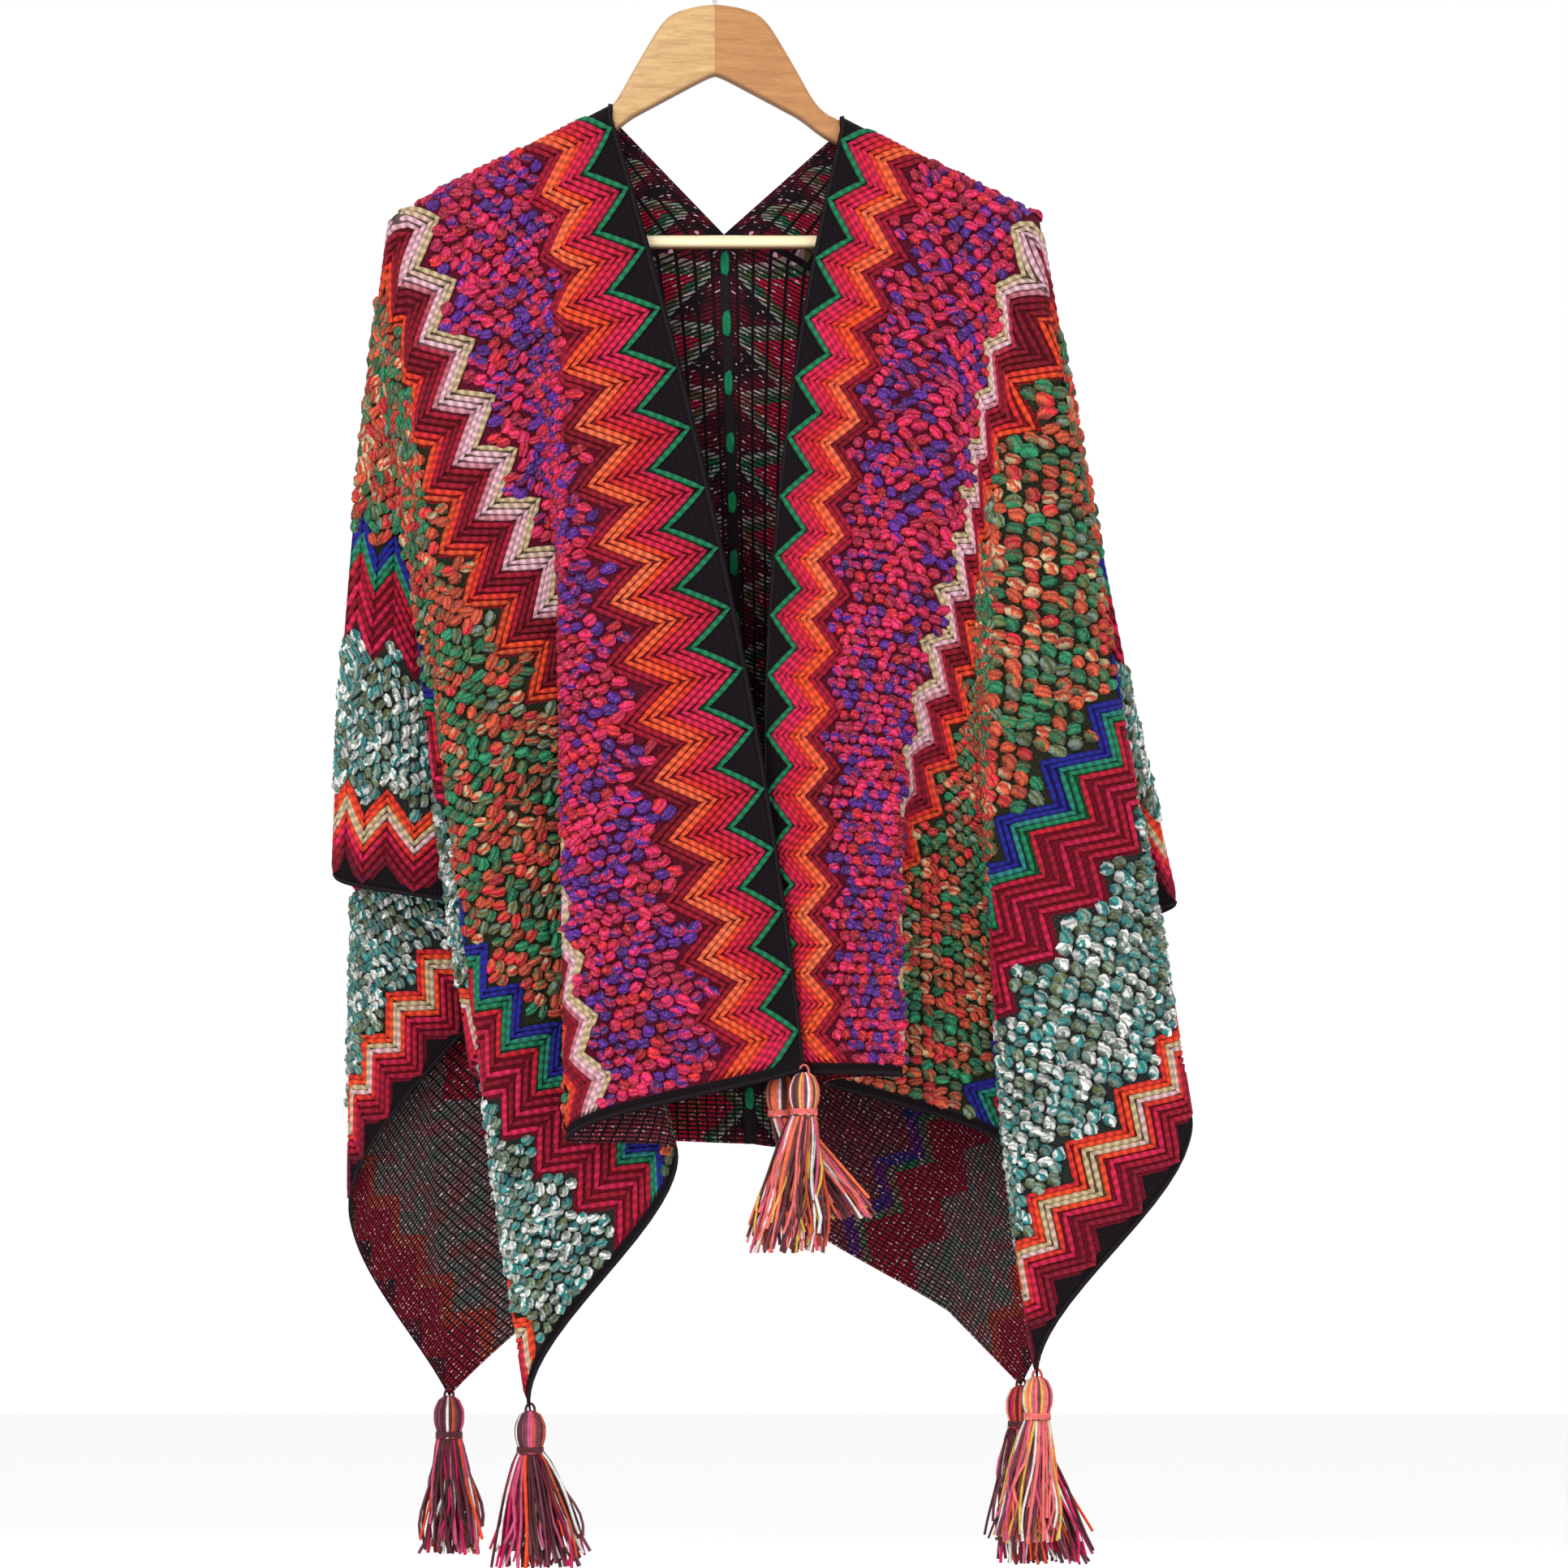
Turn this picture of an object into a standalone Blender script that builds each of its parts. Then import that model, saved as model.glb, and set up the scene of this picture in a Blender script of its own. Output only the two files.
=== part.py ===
"""An open-front knitted poncho with six tassels, hung on a wooden hanger.

Two knitted panels meet in a centre back seam. Each goes over one arm of the hanger and falls
in loose folds at the front, the side and the back. X runs to the viewer's right, the front
faces -Y and +Z is up. The origin is where the hanger's hook rests on its rod.
"""

import math
from collections import namedtuple

import bpy
import numpy as np

# The tables below hold millimetres. The scene holds metres.
MM = 0.001

# Knitted cloth
WALL = 1.4
SEAM_GAP = 0.4
ROLL = 9.3
WIDE_TURN = 5.0
TIGHT_TURN = 1.8
TURN_SLACK = 3.5
ROLL_ROWS = 3
FALL_ROWS = 15
ROW_CROWDING = 1.5
STEP_CROWDING = 0.08
SAME_HEIGHT = 0.01

# Hanger
BOARD_HALF = 6.8
BOARD_ROUND = 5.5
MITRE_GAP = 0.2
BAR_RADIUS = 4.7
BAR_HALF_LENGTH = 187.4
BAR_Z = -223.2
BAR_SIDES = 16
HOOK_INNER = 18.0
HOOK_WIRE = 1.75
HOOK_BEND = 10.0
HOOK_FOOT_Z = -59.6
HOOK_END_DEGREES = -25.0
BEND_STEPS = 5
HOOK_STEPS = 20
WIRE_SIDES = 10
CORNER_STEPS = 3
LEAST_FLAT = 0.5

# Tassels
STRANDS = 30
STRAND_RADIUS = 1.2
STRAND_ROWS = 3
STRAND_SIDES = 3
STRAND_SPREAD = 0.8
SHORTER_OUTSIDE = 0.04
SHORTEST_CUT = 0.07
CUT_LENGTHS = 5
CUT_ORDER = 7
ROOT_RADIUS = 8.0
ROOT_DEPTH = 24.0
HEAD_SIDES = 12
GOLDEN_ANGLE = math.pi * (3 - math.sqrt(5))

# A rail is one line of the cloth from the hanger's arm down to the panel's edge, at the top of
# a fold or in the valley between two. hung: how far along the arm it starts. x, y, z: where its
# foot hangs. bend, bend_y: the rail's middle control point. steps: columns up to the next rail.
Rail = namedtuple("Rail", "name hung x z bend y bend_y steps")

LEFT_RAILS = [
    Rail("front edge", 0, 61.7, -790.0, 28.4, -52, -28, 6),
    Rail("crest A", 35, -99.5, -836.7, -104.5, -80, -42, 5),
    Rail("valley A", 80, -25.6, -844.0, -106.2, -46, -26, 5),
    Rail("crest B", 162, -125.7, -1021.9, -187.9, -40, -36, 5),
    Rail("valley B", 162, -67.3, -884.5, -202.0, -27, -23, 5),
    Rail("crest C", 162, -164.6, -794.5, -208.0, -14, -11, 5),
    Rail("valley C", 162, -78.4, -711.1, -242.0, -2, -2, 5),
    Rail("crest D", 162, -260.8, -657.7, -253.1, 10, 9, 5),
    Rail("valley D", 162, -122.9, -685.5, -246.0, 22, 15, 5),
    Rail("crest E", 162, -250.8, -885.7, -250.0, 34, 31, 4),
    Rail("back corner", 162, -183.5, -1016.3, -212.0, 48, 40, 5),
    Rail("valley H", 80, -32.8, -849.5, -100.6, 56, 34, 5),
    Rail("crest H", 35, -128.4, -842.8, -100.6, 98, 52, 6),
    Rail("seam", 0, 24.5, -842.8, 6.1, 68, 38, 0),
]

RIGHT_RAILS = [
    Rail("front edge", 0, 43.9, -792.3, 9.5, -34, -18, 5),
    Rail("crest A", 48, 127.3, -793.9, 116.2, -72, -36, 5),
    Rail("valley A", 90, 74.5, -799.5, 187.9, -38, -22, 4),
    Rail("valley B", 122, 224.6, -857.9, 154.0, -28, -18, 4),
    Rail("crest B", 145, 219.6, -998.0, 160.7, -52, -28, 5),
    Rail("crest C", 145, 324.7, -821.7, 274.1, -16, -12, 5),
    Rail("valley D", 145, 109.5, -746.7, 248.4, -3.7, -2.2, 5),
    Rail("crest E", 145, 315.8, -677.2, 260.8, 12, 5, 5),
    Rail("valley F", 145, 116.0, -763.3, 239.4, 23.6, 14.0, 5),
    Rail("crest G", 145, 288.6, -835.6, 256.0, 36, 22, 4),
    Rail("back corner", 145, 210.7, -1009.1, 205.2, 48, 32, 4),
    Rail("back plain", 122, 160.7, -957.9, 177.4, 52, 33, 4),
    Rail("valley H", 90, 44.3, -880.1, 132.9, 56.9, 34, 5),
    Rail("crest H", 48, 130.5, -857.9, 110.6, 98, 52, 5),
    Rail("seam", 0, 24.5, -842.8, 6.1, 68, 38, 0),
]

# neck and tip: the ends of the arm's line that the cloth is rolled over, at the cloth's top.
Shoulder = namedtuple("Shoulder", "side hung neck_x neck_z tip_x tip_z")
LEFT_SHOULDER = Shoulder(-1, 162, -70.1, -128.9, -212.9, -202.9)
RIGHT_SHOULDER = Shoulder(1, 145, 85.6, -137.3, 212.9, -202.9)

# The foot of the neck's V, where the centre back seam starts, and how far down the seam's rail.
NECK_FOOT_X = 6.1
NECK_FOOT_Z = -216.8
NECK_FOOT_T = 0.16

# Half of the hanger's board from the mitre outwards: x from the centre, top and bottom height.
Station = namedtuple("Station", "x top bottom")
BOARD_STATIONS = [
    Station(0.0, -60.0, -108.9),
    Station(17.2, -62.2, -117.8),
    Station(33.9, -68.3, -126.7),
    Station(42.3, -82.2, -131.2),
    Station(50.6, -96.1, -135.6),
    Station(60.6, -113.5, -141.0),
    Station(70.1, -131.8, -150.0),
    Station(186.8, -192.3, -211.8),
    Station(189.6, -193.8, -230.7),
    Station(199.0, -199.2, -232.5),
    Station(203.5, -204.5, -229.0),
]

# x, y, z: the head's top. lean: how far the skirt's foot stands to the side. width, depth: half
# sizes of the skirt's foot. length: from the head's top to the foot.
Tassel = namedtuple("Tassel", "name x y z lean width depth length")
TASSELS = [
    Tassel("tassel_left_front_inner", 61.0, -52, -791.4, -12, 27, 8, 114),
    Tassel("tassel_right_front_inner", 45.5, -34, -792.9, 40, 23, 7, 94),
    Tassel("tassel_left_front_outer", -125.7, -40, -1022.5, 7, 34, 13, 103),
    Tassel("tassel_left_back_outer", -183.5, 48, -1016.9, 3, 21, 14, 105),
    Tassel("tassel_right_front_outer", 219.6, -52, -998.6, -8, 23, 13, 110),
    Tassel("tassel_right_back_outer", 210.7, 48, -1009.7, 15, 36, 13, 116),
]

# The tassel's head: how far below its top, and its radius there.
Ring = namedtuple("Ring", "drop radius")
HEAD_RINGS = [
    Ring(0.0, 3.0),
    Ring(2.5, 7.0),
    Ring(9.0, 10.0),
    Ring(17.0, 10.0),
    Ring(22.5, 8.2),
    Ring(25.5, 7.6),
    Ring(28.5, 9.4),
    Ring(31.0, 9.6),
]


def clear_scene():
    """Remove what Blender starts with."""
    for found in list(bpy.data.objects):
        bpy.data.objects.remove(found, do_unlink=True)


def material(name, colour, roughness, metallic=0.0):
    made = bpy.data.materials.new(name)
    made.use_nodes = True
    shader = made.node_tree.nodes["Principled BSDF"]
    shader.inputs["Base Color"].default_value = (*colour, 1.0)
    shader.inputs["Roughness"].default_value = roughness
    shader.inputs["Metallic"].default_value = metallic
    return made


def add_object(name, points, faces, look):
    """Make one object from points in millimetres and a list of faces."""
    mesh = bpy.data.meshes.new(name)
    mesh.from_pydata((np.asarray(points) * MM).tolist(), [], [list(face) for face in faces])
    mesh.materials.append(look)
    mesh.validate()
    made = bpy.data.objects.new(name, mesh)
    bpy.context.scene.collection.objects.link(made)
    return made


def unit(vectors):
    lengths = np.linalg.norm(vectors, axis=-1, keepdims=True)
    return vectors / np.maximum(lengths, 1e-9)


def bezier(start, middle, end, t):
    return (1 - t) ** 2 * start + 2 * t * (1 - t) * middle + t**2 * end


def around_tip(rails):
    """The angle round the arm's tip at which each rail leaves it: 0 in front, pi at the back."""
    hung = rails_hung(rails)
    at_tip = np.flatnonzero(hung == hung.max())
    angles = np.zeros(len(rails))
    angles[at_tip] = np.linspace(0, math.pi, len(at_tip))
    angles[at_tip[-1] :] = math.pi
    return angles


def rails_hung(rails):
    return np.array([float(rail.hung) for rail in rails])


def leave_arm(shoulder, hung, angle, dip):
    """Points on the roll over the arm. dip is 0 on the shoulder line and a right angle below it."""
    along = hung / shoulder.hung
    x = shoulder.neck_x + (shoulder.tip_x - shoulder.neck_x) * along
    z = shoulder.neck_z + (shoulder.tip_z - shoulder.neck_z) * along
    x = x + shoulder.side * ROLL * np.sin(angle) * np.sin(dip)
    y = -ROLL * np.cos(angle) * np.sin(dip)
    z = z - ROLL * (1 - np.cos(dip))
    return np.stack([x, y, z], axis=-1)


def rail_points(shoulder, rail, angle, t):
    """Points down one rail from below the roll, at each t from 0 to 1."""
    start = leave_arm(shoulder, rail.hung, angle, math.pi / 2)
    if rail.name == "seam":
        foot = NECK_FOOT_T
        x = np.interp(t, [0, foot, 1], [start[0], NECK_FOOT_X, rail.x])
        z = np.interp(t, [0, foot, 1], [start[2], NECK_FOOT_Z, rail.z])
        x = x + shoulder.side * SEAM_GAP / 2
    else:
        x = bezier(start[0], rail.bend, rail.x, t)
        z = start[2] + (rail.z - start[2]) * t
    y = bezier(start[1], rail.bend_y, rail.y, t)
    return np.stack([x, y, z], axis=-1)


def without(vectors, directions):
    """The vectors less their share along the directions."""
    return vectors - (vectors * directions).sum(-1, keepdims=True) * directions


def fold_tangents(points):
    """Directions of the cloth across the rails, how sharply it folds there, and down the rails.

    A direction halves the angle between the steps to the two neighbours, seen along the rail,
    so that it runs through the turn of a fold. At the seam it runs straight across.
    """
    down = unit(np.gradient(points, axis=1))
    steps = np.diff(points, axis=0)
    before = unit(without(steps, down[1:]))
    after = unit(without(steps, down[:-1]))
    tangents = np.empty_like(points)
    tangents[1:-1] = unit(before[:-1] + after[1:])
    tangents[0] = after[0]
    tangents[-1] = unit(before[-1] * (1, 0, 0))
    sharp = np.zeros(points.shape[:2])
    sharp[1:-1] = (1 - (before[:-1] * after[1:]).sum(-1)) / 2
    return tangents, sharp, down


def pull(tangent, sharp, down, step):
    """How the curve to the next rail leaves or reaches this one.

    It is as strong as the step on smooth cloth, and makes a round turn in a fold. Where the next
    layer is near, the turn is tighter, so that the cloth stays clear of it.
    """
    across = without(step, down)
    chord = np.linalg.norm(across, axis=-1)
    room = TURN_SLACK * abs((across * tangent).sum(-1))
    turn = np.clip(room, np.sqrt(6 * TIGHT_TURN * chord), np.sqrt(6 * WIDE_TURN * chord))
    strength = (1 - sharp) * chord + sharp * turn
    return strength[:, None] * tangent + step - across


def column_steps(rails):
    """(rail, fraction) of every column. Columns stand closer near the rails."""
    columns = []
    for index, rail in enumerate(rails[:-1]):
        for step in range(rail.steps):
            even = step / rail.steps
            columns.append((index, even - STEP_CROWDING * math.sin(2 * math.pi * even)))
    columns.append((len(rails) - 2, 1.0))
    return columns


def fall_rows():
    """t of every row below the roll, closer near the arm, with one row at the neck's foot."""
    rows = np.linspace(0, 1, FALL_ROWS) ** ROW_CROWDING
    rows[np.argmin(abs(rows - NECK_FOOT_T))] = NECK_FOOT_T
    return rows


def cloth_grid(shoulder, rails):
    """Points of the panel's middle surface, as columns by rows."""
    t = fall_rows()
    angles = around_tip(rails)
    hung = rails_hung(rails)
    down = [rail_points(shoulder, rail, angle, t) for rail, angle in zip(rails, angles)]
    down = np.array(down)
    tangents, sharp, along = fold_tangents(down)
    dips = np.linspace(0, math.pi / 2, ROLL_ROWS + 1)
    grid = []
    for index, f in column_steps(rails):
        start, end = down[index], down[index + 1]
        after = index + 1
        pull_start = pull(tangents[index], sharp[index], along[index], end - start)
        pull_end = pull(tangents[after], sharp[after], along[after], end - start)
        fall = (
            (2 * f**3 - 3 * f**2 + 1) * start
            + (f**3 - 2 * f**2 + f) * pull_start
            + (3 * f**2 - 2 * f**3) * end
            + (f**3 - f**2) * pull_end
        )
        at = hung[index] + (hung[index + 1] - hung[index]) * f
        angle = angles[index] + (angles[index + 1] - angles[index]) * f
        roll = leave_arm(shoulder, at, angle, dips)
        grid.append(np.concatenate([roll, fall[1:]]))
    return np.array(grid)


def shared_numbers(grid, rails):
    """Vertex numbers of the grid. The back's columns start on the front's shoulder points."""
    columns, rows = grid.shape[:2]
    numbers = np.arange(columns * rows).reshape(columns, rows)
    hung = rails_hung(rails)
    to_tip = sum(rail.steps for rail in rails[: int(np.argmax(hung))])
    for column in range(to_tip, columns):
        numbers[column, 0] = numbers[min(to_tip, columns - 1 - column), 0]
    return numbers


def triangles_between(numbers, points):
    """Two triangles for each cell of the grid, cut along the shorter diagonal."""
    a, b = numbers[:-1, :-1].ravel(), numbers[1:, :-1].ravel()
    c, d = numbers[1:, 1:].ravel(), numbers[:-1, 1:].ravel()
    across = np.linalg.norm(points[a] - points[c], axis=1)
    other = np.linalg.norm(points[b] - points[d], axis=1)
    first = across <= other
    ones = np.where(first[:, None], np.stack([a, b, c], 1), np.stack([a, b, d], 1))
    twos = np.where(first[:, None], np.stack([a, c, d], 1), np.stack([b, c, d], 1))
    faces = np.concatenate([ones, twos])
    whole = (faces[:, 0] != faces[:, 1]) & (faces[:, 1] != faces[:, 2]) & (faces[:, 0] != faces[:, 2])
    return faces[whole]


def point_normals(points, faces):
    corners = points[faces]
    face_normals = np.cross(corners[:, 1] - corners[:, 0], corners[:, 2] - corners[:, 0])
    normals = np.zeros_like(points)
    for corner in range(3):
        np.add.at(normals, faces[:, corner], face_normals)
    return unit(normals)


def panel(name, shoulder, rails, look):
    """One knitted panel: its middle surface moved out and in by half the wall."""
    grid = cloth_grid(shoulder, rails)
    numbers = shared_numbers(grid, rails)
    points = grid.reshape(-1, 3)
    faces = triangles_between(numbers, points)
    normals = point_normals(points, faces)
    seam = numbers[-1][grid[-1][:, 2] < NECK_FOOT_Z + SAME_HEIGHT]
    normals[seam, 0] = 0
    normals = unit(normals)
    loop = np.concatenate([numbers[0][::-1], numbers[-1][1:], numbers[:, -1][::-1][1:-1]])
    following = np.roll(loop, -1)
    count = len(points)
    ones = np.stack([loop, following, following + count], 1)
    twos = np.stack([loop, following + count, loop + count], 1)
    rim = np.concatenate([ones, twos])
    both = np.concatenate([points + normals * WALL / 2, points - normals * WALL / 2])
    faces = np.concatenate([faces, faces[:, ::-1] + count, rim[:, ::-1]])
    used = np.unique(faces)
    renumber = np.zeros(len(both), int)
    renumber[used] = np.arange(len(used))
    return add_object(name, both[used], renumber[faces], look)


def tube(sections):
    """Points and faces of a closed tube through sections of equal counts."""
    sections = np.asarray(sections)
    rings, sides = sections.shape[:2]
    points = sections.reshape(-1, 3)
    faces = []
    for ring in range(rings - 1):
        for side in range(sides):
            after = (side + 1) % sides
            here, there = ring * sides, (ring + 1) * sides
            faces.append([here + side, here + after, there + after, there + side])
    faces.append(list(range(sides))[::-1])
    faces.append(list(range((rings - 1) * sides, rings * sides)))
    return points, faces


def circle(count, turn=0.0):
    angle = np.arange(count) * 2 * math.pi / count + turn
    return np.cos(angle), np.sin(angle)


def strand(tassel, index):
    """One strand of the skirt, from inside the head to the skirt's foot."""
    outward = math.sqrt((index + 0.5) / STRANDS)
    angle = index * GOLDEN_ANGLE
    cut = SHORTEST_CUT * ((index * CUT_ORDER) % CUT_LENGTHS) / (CUT_LENGTHS - 1)
    length = tassel.length * (1 - cut - SHORTER_OUTSIDE * outward)
    cos, sin = circle(STRAND_SIDES, angle)
    sections = []
    for row in range(STRAND_ROWS):
        fall = row / (STRAND_ROWS - 1)
        spread = fall**STRAND_SPREAD
        x = ROOT_RADIUS * (1 - spread) + tassel.width * spread
        y = ROOT_RADIUS * (1 - spread) + tassel.depth * spread
        centre_x = tassel.x + tassel.lean * fall + x * outward * math.cos(angle)
        centre_y = tassel.y + y * outward * math.sin(angle)
        centre_z = tassel.z - ROOT_DEPTH - (length - ROOT_DEPTH) * fall
        ring_x = centre_x + STRAND_RADIUS * cos
        ring_y = centre_y + STRAND_RADIUS * sin
        sections.append(np.stack([ring_x, ring_y, np.full(STRAND_SIDES, centre_z)], 1))
    return tube(sections[::-1])


def join(parts):
    """Points and faces of several shapes as one mesh."""
    points, faces, offset = [], [], 0
    for part_points, part_faces in parts:
        points.append(part_points)
        faces += [[number + offset for number in face] for face in part_faces]
        offset += len(part_points)
    return np.concatenate(points), faces


def tassel_object(tassel, look):
    """A head bound round its neck, with the skirt's strands fused into it."""
    cos, sin = circle(HEAD_SIDES)
    rings = [
        np.stack(
            [
                tassel.x + ring.radius * cos,
                tassel.y + ring.radius * sin,
                np.full(HEAD_SIDES, tassel.z - ring.drop),
            ],
            1,
        )
        for ring in HEAD_RINGS
    ]
    head = add_object(tassel.name, *tube(rings[::-1]), look)
    strands = [strand(tassel, index) for index in range(STRANDS)]
    skirt = add_object(tassel.name + "_skirt", *join(strands), look)
    skirt.hide_render = True
    union = head.modifiers.new("skirt", "BOOLEAN")
    union.operation = "UNION"
    union.solver = "EXACT"
    union.object = skirt
    return head


def rounded_section(x, top, bottom):
    """A ring of the board at x: a rectangle with round corners, as wide as the board."""
    radius = min(BOARD_ROUND, (top - bottom) / 2 - LEAST_FLAT)
    corners = [(1, 1, 0), (-1, 1, 90), (-1, -1, 180), (1, -1, 270)]
    ring = []
    for out_y, out_z, start in corners:
        centre_y = out_y * (BOARD_HALF - radius)
        centre_z = (top - radius) if out_z > 0 else (bottom + radius)
        for step in range(CORNER_STEPS + 1):
            angle = math.radians(start + 90 * step / CORNER_STEPS)
            ring.append((x, centre_y + radius * math.cos(angle), centre_z + radius * math.sin(angle)))
    return ring


def hanger_arm(name, side, look):
    sections = []
    for index, station in enumerate(BOARD_STATIONS):
        x = station.x + (MITRE_GAP if index == 0 else 0)
        sections.append(rounded_section(side * x, station.top, station.bottom))
    points, faces = tube(sections)
    if side < 0:
        faces = [face[::-1] for face in faces]
    return add_object(name, points, faces, look)


def hanger_bar(look):
    cos, sin = circle(BAR_SIDES)
    ends = [
        np.stack([np.full(BAR_SIDES, x), BAR_RADIUS * cos, BAR_Z + BAR_RADIUS * sin], 1)
        for x in (-BAR_HALF_LENGTH, BAR_HALF_LENGTH)
    ]
    return add_object("hanger_bar", *tube(ends), look)


def hook_path():
    """(x, z, direction angle) along the hook's wire, from the board up to its open end."""
    radius = HOOK_INNER + HOOK_WIRE
    centre_z = HOOK_WIRE - radius
    reach = radius + HOOK_BEND
    bend_z = centre_z - math.sqrt(reach**2 - HOOK_BEND**2)
    meet = math.atan2(centre_z - bend_z, HOOK_BEND)
    path = [(0.0, HOOK_FOOT_Z, math.pi / 2)]
    for step in range(BEND_STEPS + 1):
        angle = meet * step / BEND_STEPS
        x = -HOOK_BEND + HOOK_BEND * math.cos(angle)
        path.append((x, bend_z + HOOK_BEND * math.sin(angle), angle + math.pi / 2))
    first = meet + math.pi
    last = math.radians(HOOK_END_DEGREES)
    for step in range(1, HOOK_STEPS + 1):
        angle = first + (last - first) * step / HOOK_STEPS
        x = radius * math.cos(angle)
        path.append((x, centre_z + radius * math.sin(angle), angle - math.pi / 2))
    return path


def hanger_hook(look):
    cos, sin = circle(WIRE_SIDES)
    sections = []
    for x, z, heading in hook_path():
        ring_x = x - HOOK_WIRE * cos * math.sin(heading)
        ring_z = z + HOOK_WIRE * cos * math.cos(heading)
        sections.append(np.stack([ring_x, HOOK_WIRE * sin, ring_z], 1))
    return add_object("hanger_hook", *tube(sections[::-1]), look)


def build():
    clear_scene()
    knit_left = material("knit left", (0.32, 0.03, 0.10), 0.9)
    knit_right = material("knit right", (0.28, 0.03, 0.12), 0.9)
    panel("panel_left", LEFT_SHOULDER, LEFT_RAILS, knit_left)
    panel("panel_right", RIGHT_SHOULDER, RIGHT_RAILS, knit_right)
    yarn = material("tassel yarn", (0.55, 0.20, 0.22), 0.85)
    for tassel in TASSELS:
        tassel_object(tassel, yarn)
    wood = material("hanger wood", (0.62, 0.40, 0.20), 0.5)
    hanger_arm("hanger_arm_left", -1, wood)
    hanger_arm("hanger_arm_right", 1, wood)
    hanger_bar(material("hanger bar wood", (0.80, 0.66, 0.42), 0.5))
    hanger_hook(material("hook metal", (0.60, 0.60, 0.62), 0.3, 1.0))


build()
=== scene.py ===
"""Looks of the open-front knitted poncho on its hanger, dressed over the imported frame.

The cloth repeats the part's own fold formula with more columns and rows. Bobbles, chain-stitch
zigzags and the edging are raised on it, placed by their spot on the flat knitted panel.
"""

import math
from collections import namedtuple

import bpy
import numpy as np
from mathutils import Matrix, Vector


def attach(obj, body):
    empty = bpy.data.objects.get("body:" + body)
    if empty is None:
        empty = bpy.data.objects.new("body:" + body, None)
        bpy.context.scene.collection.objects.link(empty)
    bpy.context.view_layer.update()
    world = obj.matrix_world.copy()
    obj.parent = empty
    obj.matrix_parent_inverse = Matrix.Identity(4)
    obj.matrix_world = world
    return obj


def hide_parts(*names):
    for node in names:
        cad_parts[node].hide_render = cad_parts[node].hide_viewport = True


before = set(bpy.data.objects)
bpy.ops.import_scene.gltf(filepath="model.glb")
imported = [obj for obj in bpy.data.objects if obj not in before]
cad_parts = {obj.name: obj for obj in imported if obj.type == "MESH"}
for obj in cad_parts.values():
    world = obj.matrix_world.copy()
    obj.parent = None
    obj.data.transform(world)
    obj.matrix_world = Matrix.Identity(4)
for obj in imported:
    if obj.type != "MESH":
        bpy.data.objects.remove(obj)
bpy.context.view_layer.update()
MM = 0.001
PER_METRE = 1000.0
TURN = 2 * math.pi

# The drape, in millimetres, as in the part
ROLL = 9.3
WALL_HALF = 0.7
SEAM_GAP = 0.4
WIDE_TURN = 5.0
TIGHT_TURN = 1.8
TURN_SLACK = 3.5
STEP_CROWDING = 0.08
ROW_CROWDING = 1.3
NECK_FOOT_X = 6.1
NECK_FOOT_Z = -216.8
NECK_FOOT_T = 0.16
SHEET_COLUMNS = 4
SHEET_ROWS = 110
SHEET_ROLL_ROWS = 7
LOOKUP_COLUMNS = 16
LOOKUP_ROWS = 300
LOOKUP_ROLL_ROWS = 12

# A rail is the line down a crest or valley. The rows go from the front edge round to the back seam.
# hung: its place along the arm. u, v: its foot on the flat panel. x, y, z: where the foot hangs.
# bend, bend_y: the middle of its curve. ease: how evenly u grows. steps: columns to the next rail.
Rail = namedtuple("Rail", "name hung u v x z bend y bend_y ease steps")

LEFT_RAILS = [
    Rail("front edge", 0, 0, 664, 61.7, -790.0, 28.4, -52, -28, 1.0, 6),
    Rail("crest A", 35, 216, 664, -99.5, -836.7, -104.5, -80, -42, 0.42, 5),
    Rail("valley A", 80, 300, 664, -25.6, -844.0, -106.2, -46, -26, 0.5, 5),
    Rail("crest B", 162, 570, 664, -125.7, -1021.9, -187.9, -40, -36, 0.3, 5),
    Rail("valley B", 162, 570, 500, -67.3, -884.5, -202.0, -27, -23, 0.45, 5),
    Rail("crest C", 162, 570, 370, -164.6, -794.5, -208.0, -14, -11, 0.6, 5),
    Rail("valley C", 162, 570, 225, -78.4, -711.1, -242.0, -2, -2, 0.7, 5),
    Rail("crest D", 162, 570, -10, -260.8, -657.7, -253.1, 10, 9, 0.85, 5),
    Rail("valley D", 162, 570, -174, -122.9, -685.5, -246.0, 22, 15, 0.75, 5),
    Rail("crest E", 162, 570, -500, -250.8, -885.7, -250.0, 34, 31, 0.5, 4),
    Rail("back corner", 162, 570, -700, -183.5, -1016.3, -212.0, 48, 40, 0.35, 5),
    Rail("valley H", 80, 300, -700, -32.8, -849.5, -100.6, 56, 34, 0.5, 5),
    Rail("crest H", 35, 175, -700, -128.4, -842.8, -100.6, 98, 52, 0.8, 6),
    Rail("seam", 0, 0, -700, 24.5, -842.8, 6.1, 68, 38, 1.0, 0),
]

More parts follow.
